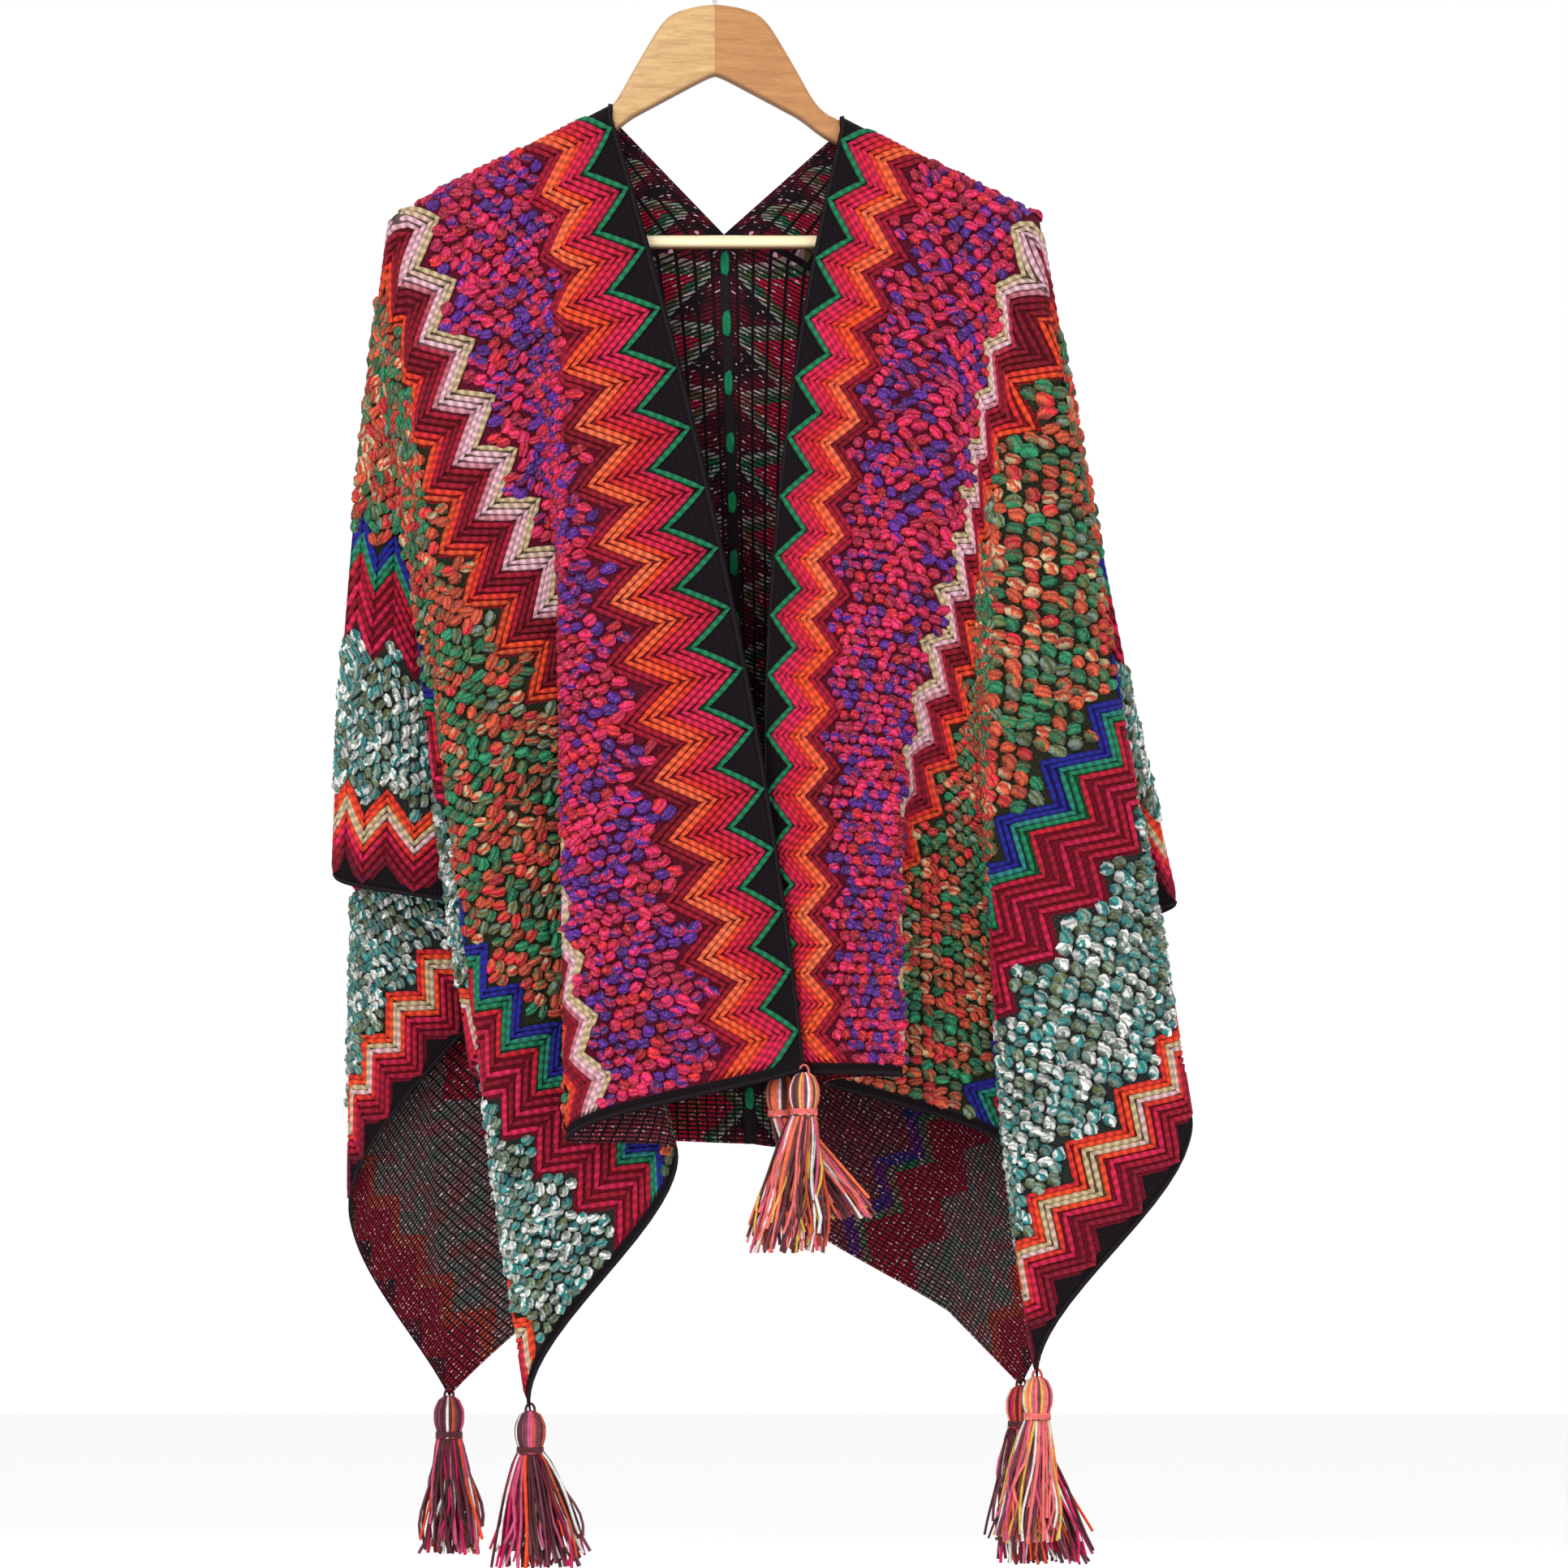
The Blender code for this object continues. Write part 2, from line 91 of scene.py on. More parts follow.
RIGHT_RAILS = [
    Rail("front edge", 0, 0, 664, 43.9, -792.3, 9.5, -34, -18, 1.0, 5),
    Rail("crest A", 48, 150, 664, 127.3, -793.9, 116.2, -72, -36, 1.6, 5),
    Rail("valley A", 90, 215, 664, 74.5, -799.5, 187.9, -38, -22, 1.0, 4),
    Rail("valley B", 122, 420, 664, 224.6, -857.9, 154.0, -28, -18, 0.22, 4),
    Rail("crest B", 145, 570, 664, 219.6, -998.0, 160.7, -52, -28, 0.55, 5),
    Rail("crest C", 145, 570, 450, 324.7, -821.7, 274.1, -16, -12, 0.75, 5),
    Rail("valley D", 145, 570, 230, 109.5, -746.7, 248.4, -3.7, -2.2, 0.8, 5),
    Rail("crest E", 145, 570, -10, 315.8, -677.2, 260.8, 12, 5, 0.85, 5),
    Rail("valley F", 145, 570, -230, 116.0, -763.3, 239.4, 23.6, 14.0, 0.8, 5),
    Rail("crest G", 145, 570, -450, 288.6, -835.6, 256.0, 36, 22, 0.6, 4),
    Rail("back corner", 145, 570, -700, 210.7, -1009.1, 205.2, 48, 32, 0.5, 4),
    Rail("back plain", 122, 450, -700, 160.7, -957.9, 177.4, 52, 33, 0.5, 4),
    Rail("valley H", 90, 240, -700, 44.3, -880.1, 132.9, 56.9, 34, 0.6, 5),
    Rail("crest H", 48, 150, -700, 130.5, -857.9, 110.6, 98, 52, 0.8, 5),
    Rail("seam", 0, 0, -700, 24.5, -842.8, 6.1, 68, 38, 1.0, 0),
]

# The line along the hanger's arm, and how far out along it the cloth is hung
Shoulder = namedtuple("Shoulder", "side hung neck_x neck_z tip_x tip_z")
LEFT_SHOULDER = Shoulder(-1, 162, -70.1, -128.9, -212.9, -202.9)
RIGHT_SHOULDER = Shoulder(1, 145, 85.6, -137.3, 212.9, -202.9)
TOP_ARC = ROLL * math.pi / 2
FALL_LENGTH = 650.0
TOP_SHARE = TOP_ARC / (TOP_ARC + FALL_LENGTH)

# The flat panel, in millimetres: u from the centre edge, v from the shoulder line
PANEL_U = 570.0
FRONT_V = 664.0
BACK_V = 700.0
ZIGZAG_PERIOD = 41.0
ZIGZAG_HALF = 11.5
EDGE_U = 10.0
EDGE_V = 8.0

COLOURS = {
    "black": (18, 12, 16),
    "green": (22, 128, 84),
    "pink": (226, 34, 84),
    "orange": (248, 76, 34),
    "peach": (250, 120, 76),
    "dark red": (128, 6, 28),
    "crimson": (178, 14, 50),
    "magenta": (206, 24, 88),
    "purple": (84, 22, 132),
    "tan": (208, 184, 140),
    "pale pink": (236, 188, 200),
    "olive": (92, 104, 58),
    "rust": (200, 78, 44),
    "blue": (28, 34, 142),
    "teal": (42, 134, 132),
    "white": (226, 226, 220),
    "grey green": (120, 142, 128),
    "scarlet": (214, 30, 44),
    "maroon": (92, 8, 36),
    "salmon": (236, 116, 112),
    "rose": (206, 84, 122),
    "mauve": (112, 62, 74),
    "brown": (84, 40, 44),
    "yellow": (224, 180, 78),
}

# start: where the band begins across the panel. ground: its knitted colour, and lift how bright.
Band = namedtuple("Band", "start ground lift")
BANDS = [
    Band(0, "black", 0.7),
    Band(12, "green", 0.3),
    Band(18, "crimson", 0.5),
    Band(35, "scarlet", 0.5),
    Band(52, "dark red", 0.8),
    Band(63, "magenta", 0.3),
    Band(150, "tan", 0.3),
    Band(160, "pale pink", 0.3),
    Band(168, "dark red", 0.8),
    Band(188, "scarlet", 0.5),
    Band(202, "olive", 0.25),
    Band(334, "blue", 0.7),
    Band(349, "green", 0.5),
    Band(358, "crimson", 0.6),
    Band(402, "grey green", 0.15),
    Band(506, "scarlet", 0.5),
    Band(518, "tan", 0.3),
    Band(530, "crimson", 0.65),
    Band(561, "black", 0.7),
]

# The same for the inside, where the yarns carried behind each band show. The lifts are partly painted
# light: they are set higher to brighten the inside, which hangs in shade.
REVERSE_BANDS = [
    Band(0, "black", 1.0),
    Band(9, "grey green", 0.8),
    Band(15, "green", 0.35),
    Band(22, "crimson", 0.75),
    Band(40, "rust", 0.4),
    Band(54, "dark red", 1.4),
    Band(66, "mauve", 1.25),
    Band(150, "tan", 0.35),
    Band(170, "dark red", 0.9),
    Band(202, "brown", 0.9),
    Band(334, "blue", 0.5),
    Band(349, "green", 0.4),
    Band(358, "dark red", 0.8),
    Band(402, "grey green", 0.3),
    Band(506, "rust", 0.4),
    Band(522, "dark red", 0.8),
    Band(560, "black", 1.0),
]
REVERSE_EDGE = 4.0

# The fine patterns of knit and chain stitch, in millimetres from one to the next
RIB_PITCH = 3.4
COURSE_PITCH = 2.6
RUNG_PITCH = 2.8
FLOAT_PITCH = 6.2
LINK_PITCH = 6.4

# One chain-stitch line each: where across the panel, and the two colours its yarn turns between.
Chain = namedtuple("Chain", "at colour other")
CHAINS = [
    Chain(15.5, "green", "green"),
    Chain(21.6, "crimson", "pink"),
    Chain(27.2, "pink", "scarlet"),
    Chain(32.8, "scarlet", "pink"),
    Chain(38.4, "orange", "scarlet"),
    Chain(44.0, "orange", "peach"),
    Chain(49.6, "peach", "orange"),
    Chain(55.2, "crimson", "dark red"),
    Chain(60.8, "dark red", "crimson"),
    Chain(151.0, "tan", "tan"),
    Chain(156.4, "tan", "pale pink"),
    Chain(161.8, "pale pink", "pale pink"),
    Chain(167.2, "pale pink", "crimson"),
    Chain(173.4, "dark red", "crimson"),
    Chain(179.6, "dark red", "dark red"),
    Chain(185.8, "crimson", "dark red"),
    Chain(192.0, "orange", "scarlet"),
    Chain(198.0, "orange", "rust"),
    Chain(337.0, "blue", "blue"),
    Chain(342.4, "blue", "blue"),
    Chain(347.8, "green", "teal"),
    Chain(353.4, "green", "green"),
    Chain(360.0, "crimson", "scarlet"),
    Chain(369.0, "crimson", "dark red"),
    Chain(378.0, "crimson", "pink"),
    Chain(387.0, "crimson", "dark red"),
    Chain(396.0, "crimson", "pink"),
    Chain(508.5, "scarlet", "orange"),
    Chain(514.0, "orange", "orange"),
    Chain(519.6, "tan", "tan"),
    Chain(525.2, "tan", "pale pink"),
    Chain(531.0, "scarlet", "orange"),
    Chain(538.5, "crimson", "pink"),
    Chain(546.5, "crimson", "dark red"),
    Chain(554.5, "crimson", "maroon"),
]
# So many of them make the piece near the centre edge, and the rest make the outer one.
CENTRE_CHAINS = 18
CHAIN_BRIGHT = 0.8
CHAIN_STEP = ZIGZAG_PERIOD / 8

# A cord on the cloth, lifted from the wall's middle, and broken where the next point is out of reach
Cord = namedtuple("Cord", "radius tip sides squash lift reach")
CHAIN_CORD = Cord(2.1, 0.3, 5, 0.75, WALL_HALF + 0.5, 22.0)
EDGE_CORD = Cord(1.2, 0.4, 6, 1.0, 0.6, 16.0)
SHORTEST_CORD = 4

# Bands of bobbles: from and to across the panel, and pairs of yarn colours twisted together.
# A bobble takes a pair near its neighbours', since the yarn's colour turns slowly.
Bobbles = namedtuple("Bobbles", "low high pairs")
BOBBLE_BANDS = [
    Bobbles(66, 147, (
        ("scarlet", "crimson"), ("magenta", "scarlet"), ("magenta", "pink"), ("magenta", "purple"),
        ("purple", "purple"), ("purple", "magenta"), ("crimson", "magenta"), ("pink", "crimson"),
    )),
    Bobbles(204, 331, (
        ("green", "olive"), ("olive", "grey green"), ("rust", "olive"), ("rust", "rust"),
        ("scarlet", "rust"), ("rust", "tan"), ("olive", "green"), ("green", "green"),
    )),
    Bobbles(405, 503, (
        ("white", "grey green"), ("teal", "grey green"), ("white", "teal"), ("grey green", "olive"),
        ("teal", "white"), ("grey green", "teal"), ("white", "grey green"),
    )),
]
BOBBLE_PITCH_U = 9.0
BOBBLE_PITCH_V = 7.7
BOBBLE_RADIUS = 5.5
BOBBLE_HEIGHT = 4.2
BOBBLE_SIDES = 7
BOBBLE_BACK_HEM = 12.0
BOBBLE_FRONT_HEM = 11.0
# How far bobbles differ from one another: the least and the most
SHIFT_U = (-1.3, 1.3)
SHIFT_V = (-1.2, 1.2)
PAIR_SHIFT = (-0.6, 0.6)
BRIGHT = (0.55, 1.2)
SPIN = (-0.7, 0.7)
LUMPS = (0.84, 1.14)
WIDE = (0.9, 1.15)
LONG = (0.72, 0.98)
TALL = (0.65, 1.15)
UV_SHIFT = (-300, 300)
# How far a bobble is stretched with the cloth, at least and at most
STRETCH_U = (0.8, 1.3)
STRETCH_V = (0.85, 1.2)

# The edging, and the back seam's cord with its loops
EDGE_INSET = 2.0
EDGE_STEP = 4.0
SEAM_HALF_WIDTH = 4.4
SEAM_SQUASH = 0.45
SEAM_POINTS = 90
LOOP_DROP = 20.0
LOOPS_END_Z = -830.0
LOOP_HALF_WIDTH = 1.4
LOOP_HALF_HEIGHT = (5.5, 8.5)
LOOP_OUT = 2.2
LOOP_RADIUS = 1.9
AHEAD = np.array([0.0, 1.0, 0.0])
UP = np.array([0.0, 0.0, 1.0])

# The hanger's board, as in the part: x from the centre, top and bottom height.
Station = namedtuple("Station", "x top bottom")
BOARD_STATIONS = [
    Station(0.0, -60.0, -108.9),
    Station(17.2, -62.2, -117.8),
    Station(33.9, -68.3, -126.7),
    Station(42.3, -82.2, -131.2),
    Station(50.6, -96.1, -135.6),
    Station(60.6, -113.5, -141.0),
    Station(70.1, -131.8, -150.0),
    Station(186.8, -192.3, -211.8),
    Station(189.6, -193.8, -230.7),
    Station(199.0, -199.2, -232.5),
    Station(203.5, -204.5, -229.0),
]
BOARD_HALF = 6.8
BOARD_ROUND = 5.5
BOARD_CORNER_STEPS = 6
# From the middle to BELL_END, each height is a mean over BELL_SOFTNESS to either side.
BELL_END = 80.0
BELL_SOFTNESS = 7.0
MITRE_GAP = 0.03
BAR_RADIUS = 4.7
BAR_HALF_LENGTH = 187.4
BAR_Z = -223.2
BAR_SIDES = 24

# Where a tassel hangs, how far its foot leans, half its width and depth there, and its length
Tassel = namedtuple("Tassel", "name x y z lean width depth length colours")
WARM = (
    "salmon", "salmon", "rose", "mauve", "yellow", "salmon",
    "brown", "white", "peach", "mauve", "rust",
)
DARK = (
    "brown", "mauve", "brown", "rose", "mauve", "brown",
    "rust", "maroon", "magenta", "orange", "white",
)
TASSELS = [
    Tassel("tassel_left_front_inner", 61.0, -52, -791.4, -12, 27, 8, 122, WARM),
    Tassel("tassel_right_front_inner", 45.5, -34, -792.9, 40, 23, 7, 98, WARM),
    Tassel("tassel_left_front_outer", -125.7, -40, -1022.5, 7, 34, 13, 106, DARK),
    Tassel("tassel_left_back_outer", -183.5, 48, -1016.9, 3, 21, 14, 108, DARK),
    Tassel("tassel_right_front_outer", 219.6, -52, -998.6, -8, 23, 13, 112, WARM),
    Tassel("tassel_right_back_outer", 210.7, 48, -1009.7, 15, 36, 13, 122, DARK),
]
# The profile of a tassel's head: how far below its top, and how wide
Ring = namedtuple("Ring", "drop radius")
HEAD_RINGS = [
    Ring(0.0, 2.6),
    Ring(2.5, 6.4),
    Ring(9.0, 9.4),
    Ring(17.0, 9.4),
    Ring(22.5, 7.6),
    Ring(25.5, 7.0),
    Ring(28.5, 8.6),
]
TASSEL_STRANDS = 130
HEAD_STRANDS = 30
STRAND_POINTS = 9
ROOT_DEPTH = 25.0
ROOT_RADIUS = 7.2
SWAY_X = 5.5
SWAY_Y = 2.5
YARN_RADIUS = 1.05
HEAD_YARN_RADIUS = 1.35
BINDING_RADIUS = 8.6
BINDING_DROPS = (24.4, 25.8, 27.0)
BINDING_YARN = 0.95
HOOP_HALF_WIDTH = 3.2
HOOP_HALF_HEIGHT = 5.0
CORE_SIDES = 16
GOLDEN_ANGLE = math.pi * (3 - math.sqrt(5))


def linear(name, lift=1.0):
    """A named colour as linear light, times lift."""
    srgb = np.array(COLOURS[name]) / 255.0
    light = np.where(srgb <= 0.04045, srgb / 12.92, ((srgb + 0.055) / 1.055) ** 2.4)
    return tuple(float(part) * lift for part in light)


class Value:
    """A socket that takes part in Python arithmetic. Each operation adds a Math node."""

    def __init__(self, look, socket):
        self.look = look
        self.socket = socket

    def maths(self, operation, *others, clamp=False):
        """A Math node over this value and the others, in order."""
        node = self.look.add("Math", {"operation": operation, "use_clamp": clamp})
        for place, value in enumerate((self, *others)):
            self.look.feed(node.inputs[place], value)
        return Value(self.look, node.outputs[0])

    def __add__(self, other):
        return self.maths("ADD", other)

    def __sub__(self, other):
        return self.maths("SUBTRACT", other)

    def __rsub__(self, other):
        return self * -1.0 + other

    def __mul__(self, other):
        return self.maths("MULTIPLY", other)

    def __truediv__(self, other):
        return self.maths("DIVIDE", other)

    __radd__ = __add__
    __rmul__ = __mul__


class Look:
    """A material under construction."""

    def __init__(self, name, roughness, specular, metallic=0.0):
        self.material = bpy.data.materials.new(name)
        self.material.use_nodes = True
        self.tree = self.material.node_tree
        self.shader = self.tree.nodes["Principled BSDF"]
        self.shader.inputs["Roughness"].default_value = roughness
        self.shader.inputs["Specular IOR Level"].default_value = specular
        self.shader.inputs["Metallic"].default_value = metallic

    def add(self, kind, settings=None, inputs=None):
        """One shader node of this kind, with its settings first and then its sockets."""
        node = self.tree.nodes.new("ShaderNode" + kind)
        for name, value in (settings or {}).items():
            setattr(node, name, value)
        for name, value in (inputs or {}).items():
            self.feed(node.inputs[name], value)
        return node

    def feed(self, socket, value):
        """Links a value or socket to this socket, or sets it to a plain number or colour."""
        if isinstance(value, Value):
            self.tree.links.new(value.socket, socket)
        elif hasattr(value, "links"):
            self.tree.links.new(value, socket)
        else:
            socket.default_value = value

    def uv(self):
        """The piece's own UV map as two values."""
        node = self.add("UVMap", {"uv_map": "cloth"})
        split = self.add("SeparateXYZ", None, {"Vector": node.outputs[0]})
        return Value(self, split.outputs[0]), Value(self, split.outputs[1]), node.outputs[0]

    def place(self):
        """Where the point lies in the object's own frame."""
        return self.add("TexCoord").outputs["Object"]

    def attribute(self, name):
        """The piece's own colour of this name."""
        return self.add("Attribute", {"attribute_name": name}).outputs["Color"]

    def noise(self, vector, scale, detail=2.0, rough=0.5):
        """Smooth noise from 0 to 1 over the vector."""
        inputs = {"Vector": vector, "Scale": scale, "Detail": detail, "Roughness": rough}
        return Value(self, self.add("TexNoise", None, inputs).outputs["Fac"])

    def mix(self, share, first, second):
        """The first colour where share is 0 and the second where it is 1."""
        node = self.add("Mix", {"data_type": "RGBA"})
        self.feed(node.inputs["Factor"], share)
        self.feed(node.inputs[6], first)
        self.feed(node.inputs[7], second)
        return node.outputs[2]

    def bands(self, across, bands):
        """The colour of the band at this place across the panel, each with a hard edge."""
        stops = [(band.start / PANEL_U, linear(band.ground, band.lift)) for band in bands]
        node = self.add("ValToRGB")
        node.color_ramp.interpolation = "CONSTANT"
        elements = node.color_ramp.elements
        while len(elements) < len(stops):
            elements.new(1.0)
        for element, (place, colour) in zip(elements, stops):
            element.position = place
            element.color = (*colour, 1.0)
        self.feed(node.inputs[0], across / PANEL_U)
        return node.outputs[0]

    def bump(self, height, distance, strength):
        """Lets the height tilt the light on the surface."""
        inputs = {"Height": height, "Distance": distance, "Strength": strength}
        node = self.add("Bump", None, inputs)
        self.feed(self.shader.inputs["Normal"], node.outputs[0])

    def colour(self, value):
        """Gives the surface this colour."""
        self.feed(self.shader.inputs["Base Color"], value)


def zigzag_of(look, v):
    """The zigzag's offset across the panel at v: a triangle wave, in millimetres."""
    half = ZIGZAG_PERIOD / 2
    wave = v.maths("PINGPONG", half) / half
    return (wave - 0.5) * (2 * ZIGZAG_HALF)


def knit_face():
    """The ground between the raised stitches: bands across the panel, shifted by the zigzag, with
    painted shade between the knitted ribs and courses.
    """
    look = Look("knit face", 0.95, 0.15)
    u_m, v_m, vector = look.uv()
    u, v = u_m * PER_METRE, v_m * PER_METRE
    across = u + zigzag_of(look, v)
    inside = u.maths("GREATER_THAN", EDGE_U) * u.maths("LESS_THAN", PANEL_U - EDGE_V)
    across = across * inside
    ground = look.bands(across, BANDS)
    hem = v.maths("GREATER_THAN", FRONT_V - EDGE_V) + v.maths("LESS_THAN", EDGE_V - BACK_V)
    ground = look.mix(hem.maths("MINIMUM", 1.0), ground, (*linear("black"), 1.0))
    ribs = (u * (TURN / RIB_PITCH)).maths("SINE") * 0.5 + 0.5
    courses = (v * (TURN / COURSE_PITCH)).maths("SINE") * 0.5 + 0.5
    mottle = look.noise(vector, 260.0, 2.0)
    # Painted shade: the ground is darkened towards reddish black between the ribs and courses, and at
    # random by the mottle.
    shade = (ribs * courses * 0.75 + 0.3) * (mottle * 1.2 + 0.3)
    dark = (0.006, 0.003, 0.005, 1.0)
    look.colour(look.mix(shade.maths("MINIMUM", 1.0), dark, ground))
    look.bump(ribs * courses + mottle * 0.6, 0.0012, 0.9)
    return look.material


def knit_reverse():
    """The panel's inside: a ladder of short floats on black, tinted by the band it lies behind."""
    look = Look("knit reverse", 0.95, 0.15)
    u_m, v_m, vector = look.uv()
    u, v = u_m * PER_METRE, v_m * PER_METRE
    across = u + zigzag_of(look, v) * u.maths("GREATER_THAN", REVERSE_EDGE)
    tint = look.bands(across, REVERSE_BANDS)
    streaks = look.noise(vector, 60.0, 2.0)
    flecks = look.noise(vector, 420.0, 1.0)
    streaked = (streaks * 3.0 - 1.2).maths("MULTIPLY", 0.7, clamp=True)
    rose = look.mix(streaked, tint, (*linear("crimson", 0.5), 1.0))
    bright = look.mix(flecks.maths("GREATER_THAN", 0.64), rose, (*linear("pale pink", 0.6), 1.0))
    rungs = (v * (TURN / RUNG_PITCH)).maths("SINE").maths("GREATER_THAN", -0.25)
    rails = (u * (TURN / FLOAT_PITCH)).maths("SINE").maths("GREATER_THAN", -0.8)
    mottle = look.noise(vector, 130.0, 2.0)
    shown = rungs * rails * (mottle * 1.1 + 0.45)
    dark = (0.006, 0.002, 0.004, 1.0)
    look.colour(look.mix(shown.maths("MINIMUM", 1.0), dark, bright))
    look.bump(rungs * rails + mottle * 0.4, 0.0012, 0.9)
    return look.material


def yarn(name, rough=0.9, fleck=0.35, scale=700.0):
    """Yarn tinted by the piece's own attribute, darker and lighter by fine noise."""
    look = Look(name, rough, 0.25)
    tint = look.attribute("tint")
    place = look.place()
    fine = look.noise(place, scale, 2.0, 0.6)
    coarse = look.noise(place, scale / 5, 2.0)
    dark = look.mix(0.75, tint, (0.004, 0.002, 0.004, 1.0))
    shade = (fine * 1.5 - fleck) * 0.8 + (coarse * 1.2 - 0.25)
    look.colour(look.mix(shade.maths("MULTIPLY", 1.0, clamp=True), dark, tint))
    look.bump(fine, 0.0008, 0.8)
    return look.material


def bobble_yarn():
    """Loops of two twisted yarns, drawn as strands across the bobble's own UV map, with painted shade
    between the strands and painted highlights on them.
    """
    look = Look("bobble yarn", 0.8, 0.3)
    across, along, _ = look.uv()
    tint = look.attribute("tint")
    twist = look.attribute("twist")
    place = look.place()
    wander = look.noise(place, 260.0, 1.0)
    fine = look.noise(place, 900.0, 2.0, 0.6)
    bend = (across * across + along * along) * 2.4
    strand = (along * 6.5 + bend + wander * 5.0).maths("SINE") * 0.5 + 0.5
    ply = ((along + across * 0.5) * 3.1 + bend * 0.7 + wander * 7.0).maths("SINE")
    mixed = look.mix((ply * 1.6 + 0.5).maths("MULTIPLY", 1.0, clamp=True), tint, twist)
    # Painted highlights: the twisted yarns are mixed towards pale pink where the fine noise is high.
    lit = look.mix((fine * 3.0 - 1.6).maths("MULTIPLY", 0.3, clamp=True), mixed, (1.0, 0.8, 0.8, 1.0))
    # Painted shade: the yarns are darkened towards black in the grooves between the strands, and at
    # random by the fine noise.
    dark = look.mix(0.72, mixed, (0.006, 0.0, 0.006, 1.0))
    shade = (strand * 1.3 + fine * 0.9 - 0.25).maths("MULTIPLY", 1.0, clamp=True)
    look.colour(look.mix(shade, dark, lit))
    look.bump(strand + fine * 0.5, 0.0012, 0.8)
    return look.material


def chain_yarn():
    """Chain stitches: V-shaped links along the line, tinted by the piece's attribute, with painted
    shade where the links meet.
    """
    look = Look("chain yarn", 0.85, 0.25)
    along, around, _ = look.uv()
    tint = look.attribute("tint")
    slant = around.maths("PINGPONG", 0.5) * 5.0
    link = ((along * PER_METRE + slant) * (TURN / LINK_PITCH)).maths("SINE") * 0.5 + 0.5
    place = look.place()
    fine = look.noise(place, 600.0, 2.0)
    # Painted shade: the yarn is darkened where one link meets the next, and at random by the fine
    # noise.
    dark = look.mix(0.7, tint, (0.01, 0.0, 0.004, 1.0))
    shade = (link * 0.8 + fine * 0.9 - 0.1).maths("MULTIPLY", 1.0, clamp=True)
    look.colour(look.mix(shade, dark, tint))
    look.bump(link + fine * 0.5, 0.0012, 0.9)
    return look.material


def wood(name, pale, deep, turn):
    """Lacquered wood: wavy grain drawn out along the board, with painted shade darkening the faces
    that look down.
    """
    look = Look(name, 0.42, 0.5)
    place = look.place()
    drawn = {"Vector": place, "Rotation": (0.0, turn, 0.0), "Scale": (9.0, 60.0, 70.0)}
    mapped = look.add("Mapping", None, drawn).outputs[0]
    grain = look.noise(mapped, 3.0, 6.0, 0.7)
    streaks = look.noise(mapped, 16.0, 4.0, 0.7)
    share = (grain * 1.7 + streaks * 1.1 - 0.85).maths("MULTIPLY", 1.0, clamp=True)
    # Painted shade: where a face looks down, the wood is mixed towards dark brown.
    facing = look.add("NewGeometry").outputs["Normal"]
    up = Value(look, look.add("SeparateXYZ", None, {"Vector": facing}).outputs[2])
    underside_shade = (up * -2.2 - 0.5).maths("MULTIPLY", 0.75, clamp=True)
    board_colour = look.mix(share, (*deep, 1.0), (*pale, 1.0))
    look.colour(look.mix(underside_shade, board_colour, (0.12, 0.045, 0.015, 1.0)))
    look.bump(grain, 0.0004, 0.3)
    return look.material


def unit(vectors):
    """Each vector divided by its length."""
    lengths = np.linalg.norm(vectors, axis=-1, keepdims=True)
    return vectors / np.maximum(lengths, 1e-9)


def turns(count):
    """So many angles, evenly round a circle."""
    return np.arange(count) / count * TURN


def circle(radius, turn, height):
    """Points at these angles round a circle about the z axis."""
    x, y = radius * np.cos(turn), radius * np.sin(turn)
    return np.stack(np.broadcast_arrays(x, y, height), -1)


def bezier(start, middle, end, t):
    """The quadratic curve: the squares and the doubled product of 1 - t and t weigh its points."""
    return (1 - t) ** 2 * start + 2 * t * (1 - t) * middle + t**2 * end


def leave_arm(shoulder, hung, angle, dip):
    """Points on the roll over the arm, a quarter circle about the arm's line at each angle."""
    along = hung / shoulder.hung
    x = shoulder.neck_x + (shoulder.tip_x - shoulder.neck_x) * along
    z = shoulder.neck_z + (shoulder.tip_z - shoulder.neck_z) * along
    x = x + shoulder.side * ROLL * np.sin(angle) * np.sin(dip)
    y = -ROLL * np.cos(angle) * np.sin(dip)
    z = z - ROLL * (1 - np.cos(dip))
    return np.stack([x + 0 * y, y + 0 * x, z + 0 * x], axis=-1)


def rail_points(shoulder, rail, angle, t):
    """Points down one rail: a quadratic curve, or two straight runs along the neck and seam."""
    start = leave_arm(shoulder, rail.hung, angle, math.pi / 2)
    if rail.name == "seam":
        x = np.interp(t, [0, NECK_FOOT_T, 1], [start[0], NECK_FOOT_X, rail.x])
        z = np.interp(t, [0, NECK_FOOT_T, 1], [start[2], NECK_FOOT_Z, rail.z])
        x = x + shoulder.side * SEAM_GAP / 2
    else:
        x = bezier(start[0], rail.bend, rail.x, t)
        z = start[2] + (rail.z - start[2]) * t
    y = bezier(start[1], rail.bend_y, rail.y, t)
    return np.stack([x, y, z], axis=-1)


def without(vectors, directions):
    """The vectors less their share along the directions."""
    return vectors - (vectors * directions).sum(-1, keepdims=True) * directions


def fold_tangents(points):
    """Directions across the rails that halve the angle between the steps to the neighbours."""
    down = unit(np.gradient(points, axis=1))
    steps = np.diff(points, axis=0)
    before = unit(without(steps, down[1:]))
    after = unit(without(steps, down[:-1]))
    tangents = np.empty_like(points)
    tangents[1:-1] = unit(before[:-1] + after[1:])
    tangents[0] = after[0]
    tangents[-1] = unit(before[-1] * (1, 0, 0))
    sharp = np.zeros(points.shape[:2])
    sharp[1:-1] = (1 - (before[:-1] * after[1:]).sum(-1)) / 2
    return tangents, sharp, down


